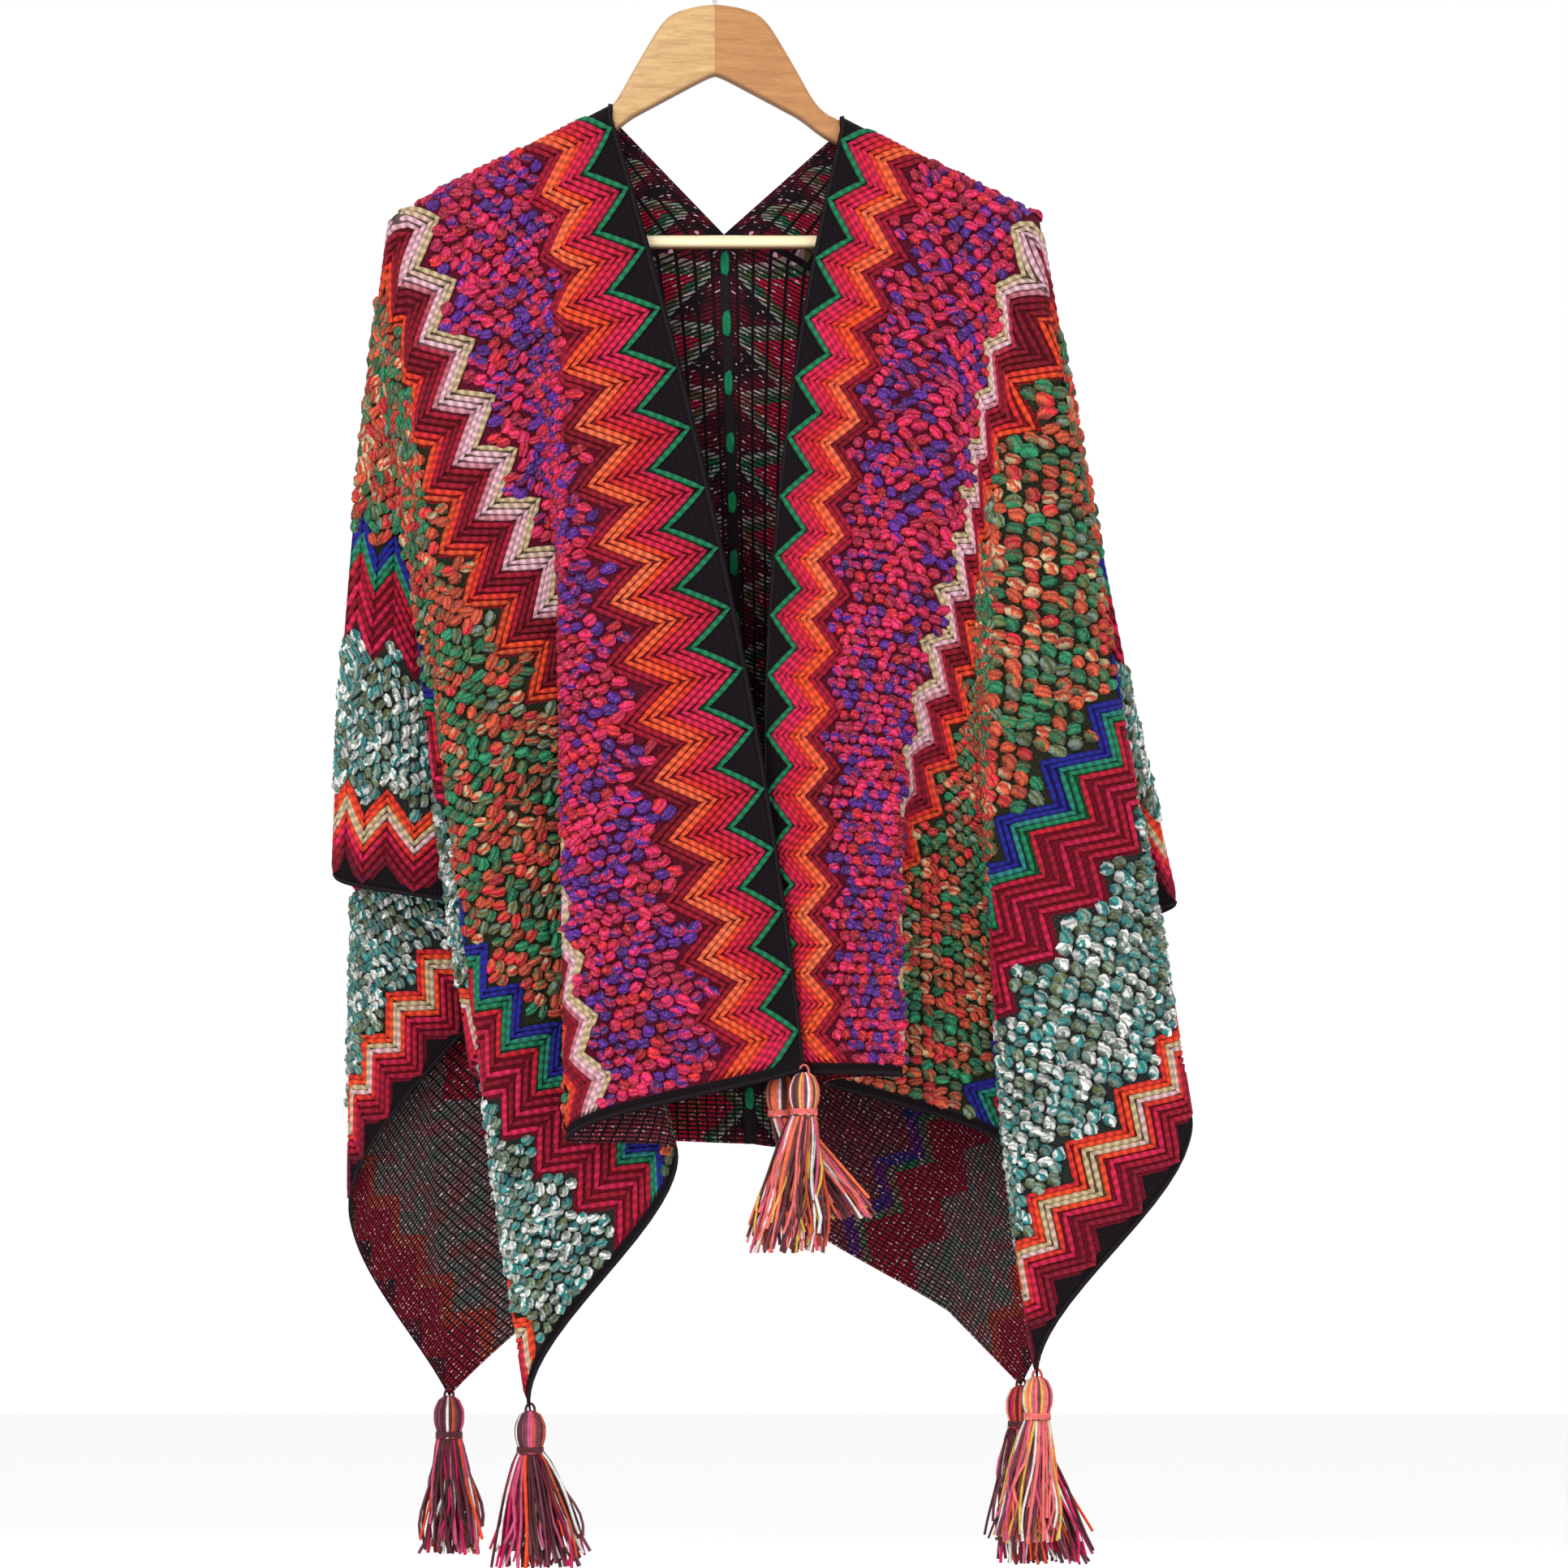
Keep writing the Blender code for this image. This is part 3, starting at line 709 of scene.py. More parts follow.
def pull(tangent, sharp, down, step):
    """How the cubic curve to the next rail leaves or reaches this one."""
    across = without(step, down)
    chord = np.linalg.norm(across, axis=-1)
    room = TURN_SLACK * abs((across * tangent).sum(-1))
    turn = np.clip(room, np.sqrt(6 * TIGHT_TURN * chord), np.sqrt(6 * WIDE_TURN * chord))
    strength = (1 - sharp) * chord + sharp * turn
    return strength[:, None] * tangent + step - across


def flat_place(rail, share):
    """(u, v) of the flat panel down a rail, at each share of its length."""
    u = rail.hung + (rail.u - rail.hung) * (rail.ease * share + (1 - rail.ease) * share**2)
    return np.stack([u, rail.v * share], axis=-1)


def drape(shoulder, rails, finer, fall, roll):
    """Points and flat places of the draped panel, as columns by rows.

    Each column lies between two rails at the fraction f and follows a cubic Hermite curve across
    them. fall and roll are the counts of rows below and on the arm.
    """
    t = np.linspace(0, 1, fall) ** ROW_CROWDING
    t[np.argmin(abs(t - NECK_FOOT_T))] = NECK_FOOT_T
    hung = np.array([float(rail.hung) for rail in rails])
    at_tip = np.flatnonzero(hung == hung.max())
    angles = np.zeros(len(rails))
    angles[at_tip] = np.linspace(0, math.pi, len(at_tip))
    angles[at_tip[-1] :] = math.pi
    down = np.array([rail_points(shoulder, rail, angle, t) for rail, angle in zip(rails, angles)])
    tangents, sharp, along = fold_tangents(down)
    dips = np.linspace(0, math.pi / 2, roll + 1)
    shares = np.concatenate([dips / (math.pi / 2) * TOP_SHARE, TOP_SHARE + (1 - TOP_SHARE) * t[1:]])
    flats = np.array([flat_place(rail, shares) for rail in rails])
    grid, flat = [], []
    for i, rail in enumerate(rails[:-1]):
        count = rail.steps * finer
        even = np.arange(count + (i == len(rails) - 2)) / count
        f = (even - STEP_CROWDING * np.sin(TURN * even))[:, None, None]
        step = down[i + 1] - down[i]
        leaves = pull(tangents[i], sharp[i], along[i], step)
        reaches = pull(tangents[i + 1], sharp[i + 1], along[i + 1], step)
        falls = (
            (2 * f**3 - 3 * f**2 + 1) * down[i]
            + (f**3 - 2 * f**2 + f) * leaves
            + (3 * f**2 - 2 * f**3) * down[i + 1]
            + (f**3 - f**2) * reaches
        )
        at = hung[i] + (hung[i + 1] - hung[i]) * f[:, :, 0]
        angle = angles[i] + (angles[i + 1] - angles[i]) * f[:, :, 0]
        rolls = leave_arm(shoulder, at, angle, dips[None, :])
        grid.append(np.concatenate([rolls, falls[:, 1:]], axis=1))
        flat.append(flats[i] * (1 - f) + flats[i + 1] * f)
    return np.concatenate(grid), np.concatenate(flat)


def shared_numbers(columns, rows, to_tip):
    """Vertex numbers of the grid. The back's columns start on the front's shoulder points."""
    numbers = np.arange(columns * rows).reshape(columns, rows)
    late = np.arange(to_tip, columns)
    numbers[late, 0] = numbers[np.minimum(to_tip, columns - 1 - late), 0]
    return numbers


def grid_normals(side, grid):
    """Normals to the panel's face, from the slopes across and down the grid."""
    across = np.gradient(grid, axis=0)
    down = np.gradient(grid, axis=1)
    return unit(np.cross(across, down)) * -side


def make_piece(name, points, faces, material, uv=None, tint=None, twist=None):
    """A mesh object from points in millimetres and arrays of triangles or quads."""
    mesh = bpy.data.meshes.new(name)
    sizes = np.concatenate([np.full(len(part), part.shape[1]) for part in faces])
    corners = np.concatenate([part.ravel() for part in faces]).astype(np.int32)
    mesh.vertices.add(len(points))
    mesh.vertices.foreach_set("co", (np.asarray(points, np.float32) * MM).ravel())
    mesh.loops.add(len(corners))
    mesh.loops.foreach_set("vertex_index", corners)
    mesh.polygons.add(len(sizes))
    starts = np.concatenate([[0], np.cumsum(sizes)[:-1]]).astype(np.int32)
    mesh.polygons.foreach_set("loop_start", starts)
    mesh.polygons.foreach_set("loop_total", sizes.astype(np.int32))
    mesh.polygons.foreach_set("use_smooth", np.full(len(sizes), True))
    if uv is not None:
        layer = mesh.uv_layers.new(name="cloth")
        layer.data.foreach_set("uv", (np.asarray(uv)[corners] * MM).astype(np.float32).ravel())
    for kind, given in (("tint", tint), ("twist", twist)):
        if given is None:
            continue
        colours = np.concatenate([given, np.ones((len(given), 1))], axis=1).astype(np.float32)
        layer = mesh.color_attributes.new(kind, "FLOAT_COLOR", "POINT")
        layer.data.foreach_set("color", colours.ravel())
    for look in material if isinstance(material, list) else [material]:
        mesh.materials.append(look)
    mesh.update()
    made = bpy.data.objects.new(name, mesh)
    bpy.context.scene.collection.objects.link(made)
    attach(made, "root")
    return made


def grid_quads(numbers):
    """A quad for each cell of the grid of vertex numbers."""
    corners = [numbers[:-1, :-1], numbers[1:, :-1], numbers[1:, 1:], numbers[:-1, 1:]]
    return np.stack(corners, -1).reshape(-1, 4)


def cloth_sheet(name, shoulder, rails, looks):
    """The knitted panel: the draped surface, moved out and in by half the wall, with a rim."""
    grid, flat = drape(shoulder, rails, SHEET_COLUMNS, SHEET_ROWS, SHEET_ROLL_ROWS)
    columns, rows = grid.shape[:2]
    hung = [rail.hung for rail in rails]
    to_tip = sum(rail.steps for rail in rails[: int(np.argmax(hung))]) * SHEET_COLUMNS
    normals = grid_normals(shoulder.side, grid).reshape(-1, 3)
    normals[np.arange(columns) * rows] = (0, 0, 1)
    numbers = shared_numbers(columns, rows, to_tip)
    points = grid.reshape(-1, 3)
    count = len(points)
    both = np.concatenate([points + normals * WALL_HALF, points - normals * WALL_HALF])
    face = grid_quads(numbers)
    loop = np.concatenate([numbers[0][::-1], numbers[-1][1:], numbers[:, -1][::-1][1:-1]])
    after = np.roll(loop, -1)
    rim = np.stack([after, loop, loop + count, after + count], 1)
    faces = np.concatenate([face, face[:, ::-1] + count, rim])
    if shoulder.side > 0:
        faces = faces[:, ::-1]
    same = faces[:, 0] == faces[:, 3]
    same_too = faces[:, 0] == faces[:, 1]
    quads = faces[~(same | same_too)]
    thirds = np.concatenate([faces[same & ~same_too][:, :3], faces[same_too & ~same][:, 1:]])
    flats = np.tile(flat.reshape(-1, 2), (2, 1))
    made = make_piece(name, both, [quads, thirds], looks, uv=flats)
    inner = np.zeros(len(made.data.polygons), np.int32)
    first = np.concatenate([quads[:, 0], thirds[:, 0]])
    inner[first >= count] = 1
    made.data.polygons.foreach_set("material_index", inner)
    return made


class Finder:
    """Finds points, normals and slopes of the draped face from places on the flat panel.

    Fine samples of the drape fill a table of small square cells of the flat panel. A place
    takes its cell's sample and is moved from it along the slopes.
    """

    CELL = 2.5
    STEEPEST = 1.5
    FLATTEST = 1e-4
    FILL_ROUNDS = 4
    FARTHEST = 14.0

    def __init__(self, shoulder, rails):
        grid, flat = drape(shoulder, rails, LOOKUP_COLUMNS, LOOKUP_ROWS, LOOKUP_ROLL_ROWS)
        normals = grid_normals(shoulder.side, grid)
        across, down = np.gradient(grid, axis=0), np.gradient(grid, axis=1)
        flat_across, flat_down = np.gradient(flat, axis=0), np.gradient(flat, axis=1)
        a, b = flat_across[..., :1], flat_down[..., :1]
        c, d = flat_across[..., 1:], flat_down[..., 1:]
        area = a * d - b * c
        area = np.where(abs(area) < self.FLATTEST, self.FLATTEST, area)
        by_u = (across * d - down * c) / area
        by_v = (down * a - across * b) / area
        self.points = grid.reshape(-1, 3)
        self.normals = normals.reshape(-1, 3)
        self.flat = flat.reshape(-1, 2)
        self.by_u = self.tame(by_u.reshape(-1, 3))
        self.by_v = self.tame(by_v.reshape(-1, 3))
        self.wide = int(PANEL_U / self.CELL) + 3
        self.tall = int((FRONT_V + BACK_V) / self.CELL) + 3
        table = np.full((self.wide, self.tall), -1)
        cells = self.cells(self.flat)
        table[cells[:, 0], cells[:, 1]] = np.arange(len(self.flat))
        for _ in range(self.FILL_ROUNDS):
            for axis, shift in ((0, 1), (0, -1), (1, 1), (1, -1)):
                near = np.roll(table, shift, axis)
                table = np.where(table < 0, near, table)
        self.table = table

    def tame(self, slopes):
        """No slope is steeper than half as far again as the cloth."""
        lengths = np.linalg.norm(slopes, axis=1, keepdims=True)
        return slopes * np.minimum(1.0, self.STEEPEST / np.maximum(lengths, 1e-6))

    def cells(self, places):
        """The table's cell of each place."""
        index = np.empty((len(places), 2), int)
        index[:, 0] = np.clip(places[:, 0] / self.CELL, 0, self.wide - 1)
        index[:, 1] = np.clip((places[:, 1] + BACK_V) / self.CELL, 0, self.tall - 1)
        return index

    def find(self, places):
        """Points, normals and slopes at the places, and whether a sample lies near enough."""
        cells = self.cells(places)
        sample = self.table[cells[:, 0], cells[:, 1]]
        off = places - self.flat[sample]
        ok = (sample >= 0) & (np.linalg.norm(off, axis=1) < self.FARTHEST)
        by_u, by_v = self.by_u[sample], self.by_v[sample]
        points = self.points[sample] + by_u * off[:, :1] + by_v * off[:, 1:]
        return points, self.normals[sample], by_u, by_v, ok


def triangle_wave(v):
    """From -1 to 1 and back once each zigzag period, as the shader's wave does."""
    half = ZIGZAG_PERIOD / 2
    folded = abs((v / ZIGZAG_PERIOD - np.floor(v / ZIGZAG_PERIOD)) * ZIGZAG_PERIOD - half)
    return 1 - folded / half * 2


def tubes(paths, refs, radii, sides, squash=1.0):
    """Tubes along paths (n by k points): at each point a ring round the path, flattened by squash.

    refs point to the flattened side. Returns points, quads and (along, around) of each ring point.
    """
    count, length = paths.shape[:2]
    forward = unit(np.gradient(paths, axis=1))
    out = unit(without(refs, forward))
    aside = np.cross(forward, out)
    turn = turns(sides)
    cos, sin = np.cos(turn)[None, None, :, None], np.sin(turn)[None, None, :, None]
    rings = paths[:, :, None] + radii[:, :, None, None] * (
        cos * aside[:, :, None] + squash * sin * out[:, :, None]
    )
    numbers = np.arange(count * length * sides).reshape(count, length, sides)
    after = np.roll(numbers, -1, axis=2)
    corners = [numbers[:, :-1], after[:, :-1], after[:, 1:], numbers[:, 1:]]
    quads = np.stack(corners, -1).reshape(-1, 4)
    steps = np.linalg.norm(np.diff(paths, axis=1), axis=-1)
    along = np.concatenate([np.zeros((count, 1)), np.cumsum(steps, axis=1)], axis=1)
    around = np.arange(sides) / sides * PER_METRE
    uv = np.stack(np.broadcast_arrays(along[:, :, None], around[None, None, :]), -1)
    return rings.reshape(-1, 3), quads, uv.reshape(-1, 2)


def cords(finder, places, kind, colours):
    """Tubes of this kind along places on the panel's face, with a row of colours for each place."""
    place, normal, _, _, ok = finder.find(places)
    far = np.concatenate([[False], np.linalg.norm(np.diff(place, axis=0), axis=1) > kind.reach])
    place = place + normal * kind.lift
    parts = []
    for run in np.split(np.arange(len(place)), np.flatnonzero(far | ~ok)):
        if len(run) >= SHORTEST_CORD:
            radii = np.full((1, len(run)), kind.radius)
            radii[0, [0, -1]] = kind.tip
            tube = tubes(place[run][None], normal[run][None], radii, kind.sides, kind.squash)
            parts.append((*tube, np.repeat(colours[run], kind.sides, axis=0)))
    return parts


def plain(tube, colour):
    """A tube's points, quads and UV places, with one tint for all of them."""
    return *tube, np.tile(colour, (len(tube[0]), 1))


def joined(parts):
    """Several sets of points, quads and values of each point, as one set."""
    starts = np.cumsum([0] + [len(part[0]) for part in parts[:-1]])
    points, quads, *values = zip(*parts)
    quads = [quad + start for quad, start in zip(quads, starts)]
    return [np.concatenate(part) for part in (points, quads, *values)]


def chain_lines(name, finder, chains, look):
    """Raised zigzag lines of chain stitch, from the front hem over the shoulder to the back hem."""
    first = math.ceil((EDGE_V - BACK_V) / CHAIN_STEP)
    last = math.floor((FRONT_V - EDGE_V) / CHAIN_STEP)
    v = np.arange(first, last + 1) * CHAIN_STEP
    parts = []
    for chain in chains:
        u = np.clip(chain.at - triangle_wave(v) * ZIGZAG_HALF, 4.0, PANEL_U - 5.0)
        turned = 0.5 + 0.5 * np.sin(v / 27.0 + chain.at * 1.7) * np.sin(v / 71.0 + chain.at)
        ends = linear(chain.colour, CHAIN_BRIGHT), linear(chain.other, CHAIN_BRIGHT)
        colours = np.outer(1 - turned, ends[0]) + np.outer(turned, ends[1])
        parts += cords(finder, np.stack([u, v], 1), CHAIN_CORD, colours)
    points, quads, uv, tint = joined(parts)
    return make_piece(name, points, [quads], look, uv, tint)


def bobble_shape():
    """One bobble: three rings and a top, as (across, along, height) of a rounded heap."""
    turn = turns(BOBBLE_SIDES)
    foot = circle(1.0, turn, -0.2)
    belly = circle(0.86, turn + 0.4, 0.6)
    brow = circle(0.45, turn, 0.93)
    shape = np.concatenate([foot, belly, brow, [[0, 0, 1.0]]])
    numbers = np.arange(3 * BOBBLE_SIDES).reshape(3, BOBBLE_SIDES)
    low, high = numbers[:-1].ravel(), numbers[1:].ravel()
    after = np.roll(numbers, -1, axis=1)
    sides = np.stack([low, after[:-1].ravel(), after[1:].ravel(), high], 1)
    peak = np.full(BOBBLE_SIDES, len(shape) - 1)
    top = np.stack([numbers[2], after[2], peak], 1)
    return shape, sides, top


def slow_noise(u, v, rng):
    """A smooth field over the flat panel from about -1 to 1, as a sum of slanted waves."""
    total = np.zeros(len(u))
    for length in (150.0, 95.0, 60.0, 38.0, 27.0):
        heading, phase = rng.uniform(0, math.pi), rng.uniform(0, TURN)
        total += np.sin((u * math.cos(heading) + v * math.sin(heading)) * TURN / length + phase)
    return total / 2.6


def bobble_field(name, finder, band, look, seed):
    """Bobbles in staggered rows of the flat panel, within the band's stair-stepped borders."""
    rng = np.random.default_rng(seed)
    shape, sides, top = bobble_shape()
    across = np.arange(band.low - ZIGZAG_HALF, band.high + ZIGZAG_HALF, BOBBLE_PITCH_U)
    along = np.arange(BOBBLE_BACK_HEM - BACK_V, FRONT_V - BOBBLE_FRONT_HEM, BOBBLE_PITCH_V)
    u, v = (part.ravel() for part in np.meshgrid(across, along, indexing="ij"))
    u = u + (np.round((v + BACK_V) / BOBBLE_PITCH_V) % 2) * BOBBLE_PITCH_U / 2
    level = u + triangle_wave(v) * ZIGZAG_HALF
    kept = (level > band.low) & (level < band.high)
    u = u[kept] + rng.uniform(*SHIFT_U, kept.sum())
    v = v[kept] + rng.uniform(*SHIFT_V, kept.sum())
    pairs = np.array([[linear(colour) for colour in pair] for pair in band.pairs])
    turned = (slow_noise(u, v, rng) + rng.uniform(*PAIR_SHIFT, len(u))) * len(pairs) * 0.45
    picks = np.floor(turned + len(pairs) / 2).astype(int) % len(pairs)
    bright = rng.uniform(*BRIGHT, (len(u), 1))
    tint, twist = pairs[picks, 0] * bright, pairs[picks, 1] * bright * 0.8
    point, normal, by_u, by_v, ok = finder.find(np.stack([u, v], 1))
    found = (point, normal, by_u, by_v, tint, twist)
    point, normal, by_u, by_v, tint, twist = (part[ok] for part in found)
    wider = np.clip(np.linalg.norm(by_u, axis=1), *STRETCH_U)[:, None, None]
    longer = np.clip(np.linalg.norm(by_v, axis=1), *STRETCH_V)[:, None, None]
    count, size = len(point), len(shape)
    first = unit(without(by_u, normal))
    second = np.cross(normal, first)
    spin = rng.uniform(*SPIN, (count, 1))
    first, second = (
        first * np.cos(spin) + second * np.sin(spin),
        second * np.cos(spin) - first * np.sin(spin),
    )
    lumps = rng.uniform(*LUMPS, (count, size, 1))
    wide = BOBBLE_RADIUS * wider * rng.uniform(*WIDE, (count, 1, 1))
    long = BOBBLE_RADIUS * longer * rng.uniform(*LONG, (count, 1, 1))
    high = BOBBLE_HEIGHT * rng.uniform(*TALL, (count, 1, 1))
    made = (
        point[:, None]
        + wide * lumps * shape[None, :, :1] * first[:, None]
        + long * lumps * shape[None, :, 1:2] * second[:, None]
        + (high * lumps * shape[None, :, 2:] + WALL_HALF) * normal[:, None]
    )
    starts = (np.arange(count) * size)[:, None, None]
    faces = [(part[None] + starts).reshape(-1, part.shape[1]) for part in (sides, top)]
    tint, twist = np.repeat(tint, size, axis=0), np.repeat(twist, size, axis=0)
    shift = np.repeat(rng.uniform(*UV_SHIFT, (count, 2)), size, axis=0)
    uv = np.tile(shape[:, :2] * PER_METRE, (count, 1)) + shift
    return make_piece(name, made.reshape(-1, 3), faces, look, uv, tint, twist)


def edging(name, finder, look):
    """The black crocheted edge: a raised cord round the panel's four sides."""
    low, high = 1.0 - BACK_V, FRONT_V - 1.0
    side_v = np.arange(low, high, EDGE_STEP)
    side_u = np.arange(EDGE_INSET, PANEL_U - EDGE_INSET, EDGE_STEP)
    sides = (
        (PANEL_U - EDGE_INSET, side_v),
        (side_u, high - 1.0),
        (side_u, low + 1.0),
        (EDGE_INSET, side_v),
    )
    parts = []
    for u, v in sides:
        places = np.stack(np.broadcast_arrays(u, v), 1)
        black = np.tile(linear("black", 1.3), (len(places), 1))
        parts += cords(finder, places, EDGE_CORD, black)
    points, quads, uv, tint = joined(parts)
    return make_piece(name, points, [quads], look, uv, tint)


def seam_piece(name, look):
    """The joined back seam: a flat black cord, with a green loop each zigzag on both its sides."""
    rng = np.random.default_rng(7)
    t = np.linspace(NECK_FOOT_T, 1, SEAM_POINTS)
    sides = ((LEFT_SHOULDER, LEFT_RAILS), (RIGHT_SHOULDER, RIGHT_RAILS))
    path = sum(rail_points(shoulder, rails[-1], math.pi, t) for shoulder, rails in sides) / 2
    tube = tubes(path[None], AHEAD, np.full((1, len(t)), SEAM_HALF_WIDTH), 8, SEAM_SQUASH)
    parts = [plain(tube, linear("black", 1.5))]
    drops = np.arange(NECK_FOOT_Z - LOOP_DROP, LOOPS_END_Z, -ZIGZAG_PERIOD)
    turn = np.linspace(0, TURN, 10)[None]
    for out in (-1, 1):
        centre = np.stack([np.interp(drops, path[::-1, 2], path[::-1, axis]) for axis in range(3)], 1)
        centre[:, 1] += out * LOOP_OUT
        tall = rng.uniform(*LOOP_HALF_HEIGHT, (len(drops), 1))
        x = LOOP_HALF_WIDTH * np.cos(turn) + 0 * tall
        y = out * 0.5 * np.sin(turn * 2) + 0 * tall
        loops = np.stack([x, y, tall * np.sin(turn)], -1) + centre[:, None]
        tube = tubes(loops, AHEAD * out, np.full(loops.shape[:2], LOOP_RADIUS), 5)
        parts.append(plain(tube, linear("green")))
    points, quads, uv, tint = joined(parts)
    made = make_piece(name, points, [quads], look, uv, tint)


def core_bulb(top):
    """The middle of the head, coloured dark as painted shade: a turned profile through the head's
    rings.
    """
    rings = [circle(ring.radius, turns(CORE_SIDES), -ring.drop) for ring in HEAD_RINGS]
    numbers = np.arange(len(rings) * CORE_SIDES).reshape(len(rings), CORE_SIDES)
    closed = np.concatenate([numbers, numbers[:, :1]], axis=1)
    return np.concatenate(rings) + top, grid_quads(closed)


def skirt_strands(tassel, rng):
    """Paths and radii of the loose strands: spread as sunflower seeds are, wide below, swaying."""
    count = TASSEL_STRANDS
    index = np.arange(count)
    outward = np.sqrt((index + 0.5) / count)[:, None]
    turn = (index * GOLDEN_ANGLE)[:, None]
    fall = np.linspace(0, 1, STRAND_POINTS)[None]
    reach = (tassel.length * (1 - 0.24 * rng.random(count) ** 2))[:, None]
    spread = fall**0.75
    waves = fall * math.pi * rng.uniform(0.8, 3.4, (count, 1)) + rng.uniform(0, 1.5, (count, 1))
    sway = rng.uniform(-1, 1, (count, 1)) * np.sin(waves)
    out_x = ROOT_RADIUS * (1 - spread) + tassel.width * spread
    out_y = ROOT_RADIUS * (1 - spread) + tassel.depth * spread
    x = tassel.lean * fall + out_x * outward * np.cos(turn) + SWAY_X * sway * fall
    y = out_y * outward * np.sin(turn) + SWAY_Y * np.roll(sway, 1, axis=0) * fall
    z = -ROOT_DEPTH - (reach - ROOT_DEPTH) * fall
    radii = YARN_RADIUS * rng.uniform(0.75, 1.2, (count, 1)) * np.ones((1, STRAND_POINTS))
    return np.stack([x, y, z + 0 * x], -1), radii


def head_strands():
    """Paths of the yarns over the head's bulb, and the way out from its middle at each."""
    turn = turns(HEAD_STRANDS)[:, None]
    drops = np.array([ring.drop for ring in HEAD_RINGS])
    fine = np.linspace(0, drops[-1], 12)
    radius = np.interp(fine, drops, [ring.radius for ring in HEAD_RINGS])[None]
    return circle(radius, turn, -fine), circle(1.0, turn, 0.0)


def tassel_piece(tassel, look, seed):
    """A tassel of yarn: strands over a bulb, turns round its neck, and a loose skirt."""
    rng = np.random.default_rng(seed)
    palette = np.array([linear(colour) for colour in tassel.colours])
    top = np.array([tassel.x, tassel.y, tassel.z])

    paths, radii = skirt_strands(tassel, rng)
    picks = palette[rng.integers(0, len(palette), len(paths))]
    strands = [(paths, np.array([0.0, 1.0, 0.2]), radii, 4, picks)]

    paths, outward = head_strands()
    picks = palette[rng.integers(0, len(palette), len(paths))]
    strands.append((paths, outward, HEAD_YARN_RADIUS * np.ones(paths.shape[:2]), 5, picks))

    paths = circle(BINDING_RADIUS, np.linspace(0, TURN, 19), -np.array(BINDING_DROPS)[:, None])
    radii = np.full(paths.shape[:2], BINDING_YARN)
    strands.append((paths, UP, radii, 5, np.tile(palette[0], (len(paths), 1))))

    hoop = np.linspace(0, TURN, 17)[None]
    z = 1.0 + HOOP_HALF_HEIGHT * np.sin(hoop)
    paths = np.stack([HOOP_HALF_WIDTH * np.cos(hoop), 0.6 * np.sin(hoop * 2), z], -1)
    strands.append((paths, AHEAD, np.full(paths.shape[:2], 1.0), 5, palette[:1] * 0.7))

    parts = []
    for paths, refs, radii, sides, colours in strands:
        ring, quads, _ = tubes(paths + top, refs, radii, sides)
        parts.append((ring, quads, np.repeat(colours, paths.shape[1] * sides, axis=0)))
    core, quads = core_bulb(top)
    # Painted shade inside the head: the bulb takes the fourth yarn colour at half brightness.
    parts.append((core, quads, np.tile(palette[3] * 0.5, (len(core), 1))))
    points, quads, tint = joined(parts)
    made = make_piece("yarn_" + tassel.name, points, [quads], look, None, tint)
    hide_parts(tassel.name)


def board(name, side, look):
    """Half of the hanger's board: a rectangle with round corners carried along the stations."""
    x = np.array([station.x for station in BOARD_STATIONS])
    fine = np.unique(np.concatenate([x, np.linspace(0, x[-1], 60)]))
    around = np.linspace(-BELL_SOFTNESS, BELL_SOFTNESS, 9)
    near = fine[:, None] + around * (fine < BELL_END)[:, None]
    top = np.interp(near, x, [station.top for station in BOARD_STATIONS]).mean(axis=1)
    bottom = np.interp(near, x, [station.bottom for station in BOARD_STATIONS]).mean(axis=1)
    fine[0] = MITRE_GAP
    radius = np.minimum(BOARD_ROUND, (top - bottom) / 2 - 0.5)
    rings = []
    for out_y, out_z, start in ((1, 1, 0), (-1, 1, 90), (-1, -1, 180), (1, -1, 270)):
        centre_y = out_y * (BOARD_HALF - radius)
        centre_z = (top - radius) if out_z > 0 else (bottom + radius)
        for step in range(BOARD_CORNER_STEPS + 1):
            angle = math.radians(start + 90 * step / BOARD_CORNER_STEPS)
            y = centre_y + radius * math.cos(angle)
            z = centre_z + radius * math.sin(angle)
            rings.append(np.stack([side * fine, y, z], 1))
    points = np.array(rings)
    count, stations = points.shape[:2]
    numbers = np.arange(count * stations).reshape(count, stations)
    after = np.roll(numbers, -1, axis=0)
    quads = np.stack([numbers[:, :-1], numbers[:, 1:], after[:, 1:], after[:, :-1]], -1).reshape(-1, 4)
    if side > 0:
        quads = quads[:, ::-1]
    ends = [numbers[:, 0][None], numbers[:, -1][::-1][None]]
    if side < 0:
        ends = [end[:, ::-1] for end in ends]
    made = make_piece(name, points.reshape(-1, 3), [quads, *ends], look)
    made.data.set_sharp_from_angle(angle=math.radians(40))
    return made


def dress_cloth():
    """The two panels with their bobbles, lines and edging, and the seam between them."""
    face, back = knit_face(), knit_reverse()
    bobble_look, chain_look = bobble_yarn(), chain_yarn()
    edge_look = yarn("edge yarn", 0.95)
    sides = (("left", LEFT_SHOULDER, LEFT_RAILS), ("right", RIGHT_SHOULDER, RIGHT_RAILS))
    for name, shoulder, rails in sides:
        slot = "knit_" + name
        cloth = cloth_sheet(slot, shoulder, rails, [face, back])
        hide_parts("panel_" + name)
        finder = Finder(shoulder, rails)
        seed = 11 if name == "left" else 12
        pieces = [
            bobble_field(f"bobbles_{place}_{name}", finder, band, bobble_look, seed + 2 * number)
            for number, (place, band) in enumerate(zip(("centre", "middle", "outer"), BOBBLE_BANDS))
        ]
        pieces += [
            chain_lines("zigzags_centre_" + name, finder, CHAINS[:CENTRE_CHAINS], chain_look),
            chain_lines("zigzags_outer_" + name, finder, CHAINS[CENTRE_CHAINS:], chain_look),
            edging("edging_" + name, finder, edge_look),
        ]
    seam_piece("seam_cord", edge_look)


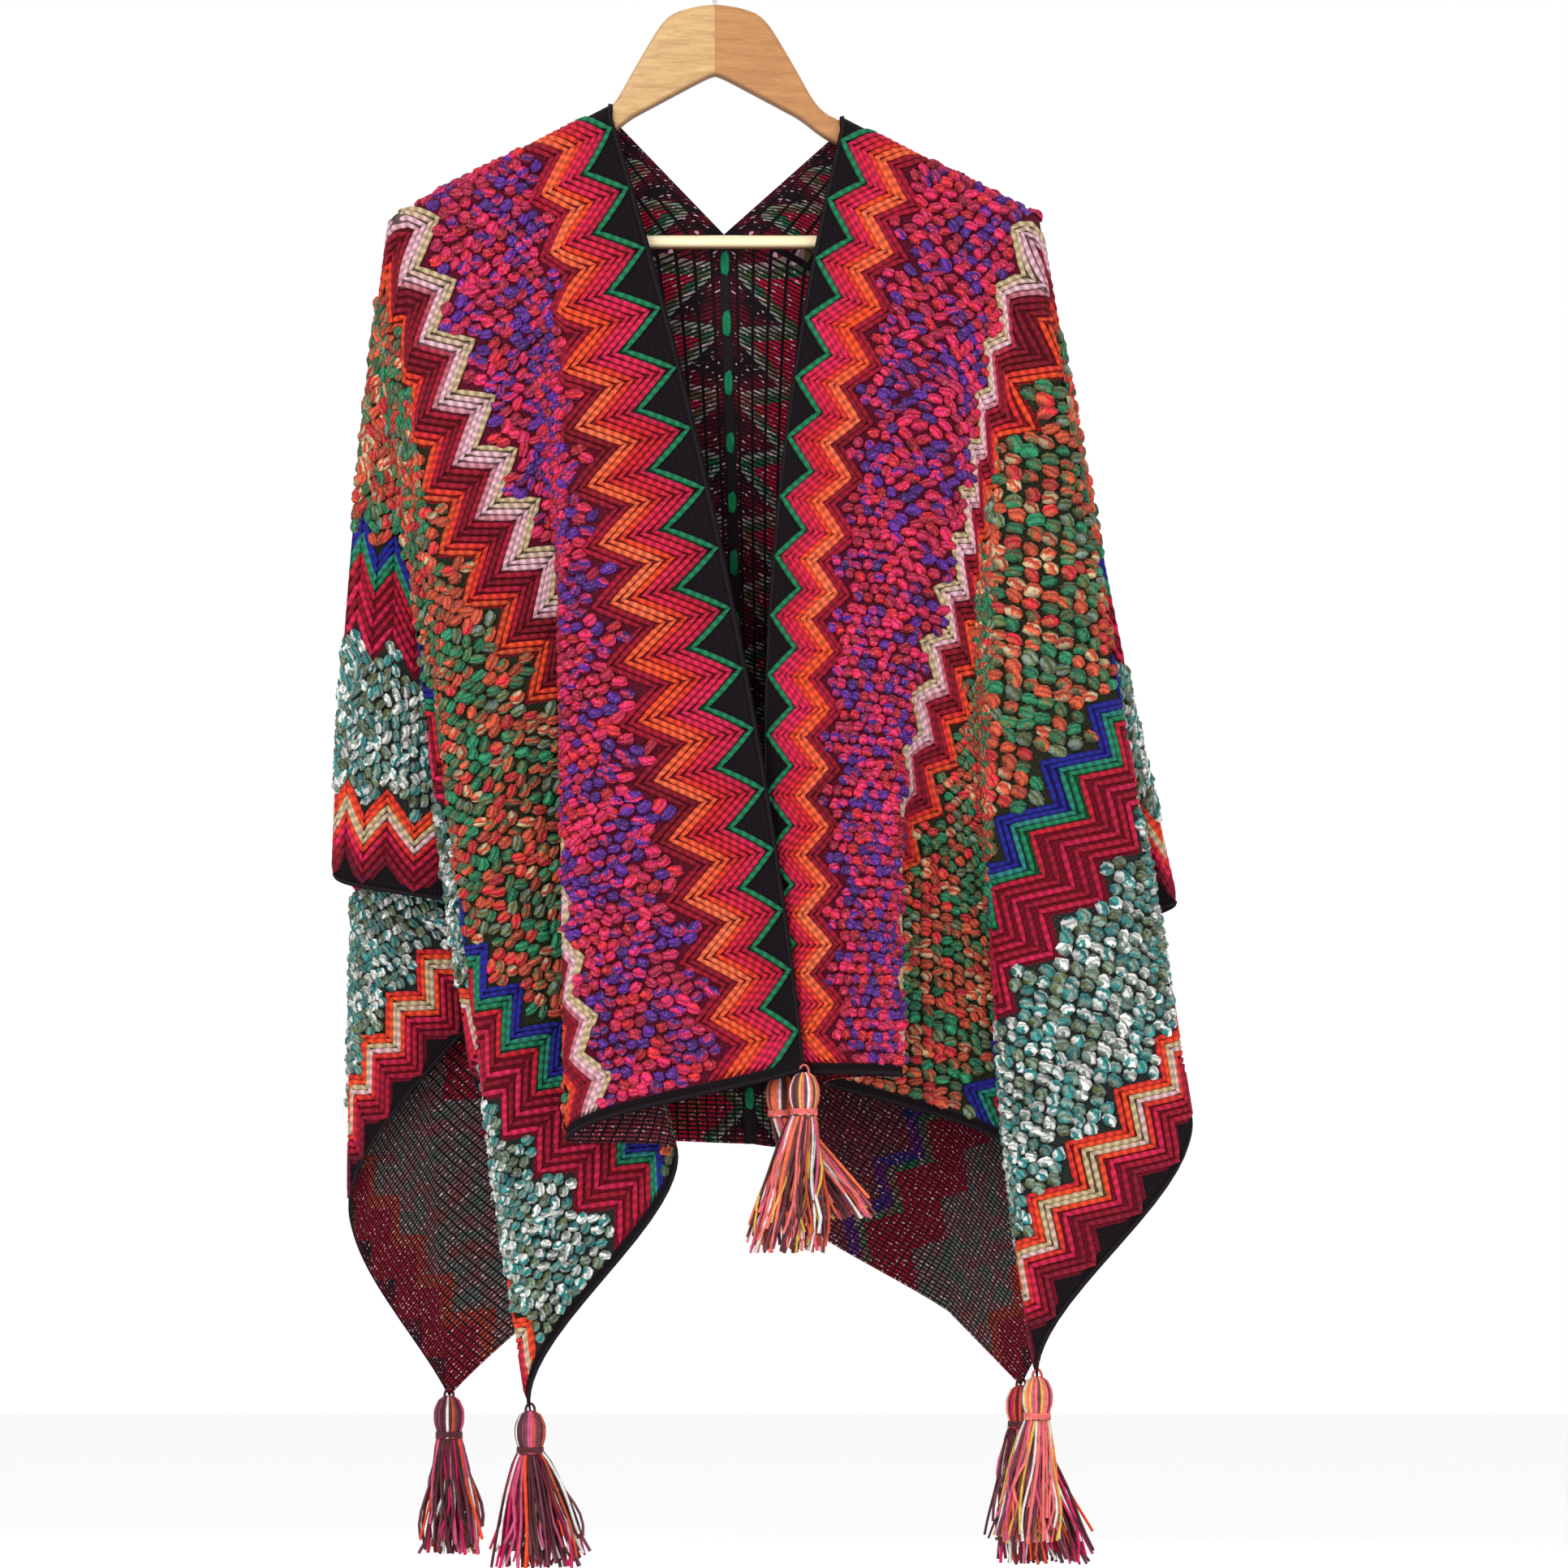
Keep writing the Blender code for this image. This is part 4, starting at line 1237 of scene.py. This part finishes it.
def dress_hanger():
    """The board's two halves in one wood, painted paler on the left as lit and darker on the right as
    shaded, the bar and the wire hook.
    """
    # A lit and a shaded copy of one wood: the paler left half is painted light, the darker right half
    # painted shade.
    pale = wood("painted lit wood", (0.60, 0.38, 0.165), (0.30, 0.155, 0.05), 0.48)
    tan = wood("painted shaded wood", (0.46, 0.215, 0.07), (0.27, 0.105, 0.03), -0.48)
    bar = wood("bar wood", (0.86, 0.74, 0.50), (0.74, 0.58, 0.34), 0.0)
    for name, side, look in (("left", -1, pale), ("right", 1, tan)):
        made = board("board_" + name, side, look)
        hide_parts("hanger_arm_" + name)
    rod_x = np.linspace(-BAR_HALF_LENGTH, BAR_HALF_LENGTH, 9)
    path = np.stack([rod_x, 0 * rod_x, 0 * rod_x + BAR_Z], 1)[None]
    ring, quads, _ = tubes(path, UP, np.full(path.shape[:2], BAR_RADIUS), BAR_SIDES)
    first = np.arange(BAR_SIDES)[None]
    last = first[:, ::-1] + len(ring) - BAR_SIDES
    made = make_piece("bar", ring, [quads, first[:, ::-1], last[:, ::-1]], bar)
    made.data.set_sharp_from_angle(angle=math.radians(40))
    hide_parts("hanger_bar")
    metal = Look("hook metal", 0.28, 0.5, 1.0)
    metal.colour((0.62, 0.62, 0.64, 1.0))
    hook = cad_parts["hanger_hook"]
    hook.data.materials.clear()
    hook.data.materials.append(metal.material)


def studio():
    """A pale floor, a plain white background, soft lights and a long lens at the photo's angle."""
    scene = bpy.context.scene
    floor = Look("floor", 0.9, 0.2)
    floor.colour((0.93, 0.93, 0.93, 1.0))
    mesh = bpy.data.meshes.new("floor")
    half, level = 6.0, -1.35
    corners = [(-half, -half, level), (half, -half, level), (half, half, level), (-half, half, level)]
    mesh.from_pydata(corners, [], [(0, 1, 2, 3)])
    mesh.materials.append(floor.material)
    ground = bpy.data.objects.new("floor", mesh)
    scene.collection.objects.link(ground)
    world = bpy.data.worlds.new("studio")
    world.use_nodes = True
    world.node_tree.nodes["Background"].inputs[0].default_value = (1.0, 1.0, 1.0, 1.0)
    world.node_tree.nodes["Background"].inputs[1].default_value = 1.0
    scene.world = world
    lights = (
        ("key", (-1.6, -2.6, 1.0), 1.6, 55.0),
        ("fill", (2.2, -2.2, -0.2), 2.0, 22.0),
        ("back", (0.4, 2.6, 0.8), 2.0, 35.0),
    )
    for name, place, size, power in lights:
        lamp = bpy.data.lights.new(name, "AREA")
        lamp.size = size
        lamp.energy = power
        made = bpy.data.objects.new(name, lamp)
        made.location = place
        aim = np.array([0.0, 0.0, -0.6]) - np.array(place)
        made.rotation_mode = "QUATERNION"
        made.rotation_quaternion = Vector(aim).to_track_quat("-Z", "Y")
        scene.collection.objects.link(made)
    camera = bpy.data.cameras.new("camera")
    view_width, distance = 1.0742, 8.0
    camera.sensor_width = 36.0
    camera.lens = camera.sensor_width * distance / view_width
    camera.clip_end = 100.0
    made = bpy.data.objects.new("camera", camera)
    made.location = (0.0473, -distance, -0.5943)
    made.rotation_euler = (math.pi / 2, 0.0, 0.0)
    scene.collection.objects.link(made)
    scene.camera = made
    scene.view_settings.view_transform = "Standard"


dress_cloth()
tassel_look = yarn("tassel yarn", 0.75, 0.2, 900.0)
for number, tassel in enumerate(TASSELS):
    tassel_piece(tassel, tassel_look, 31 + number)
dress_hanger()
studio()
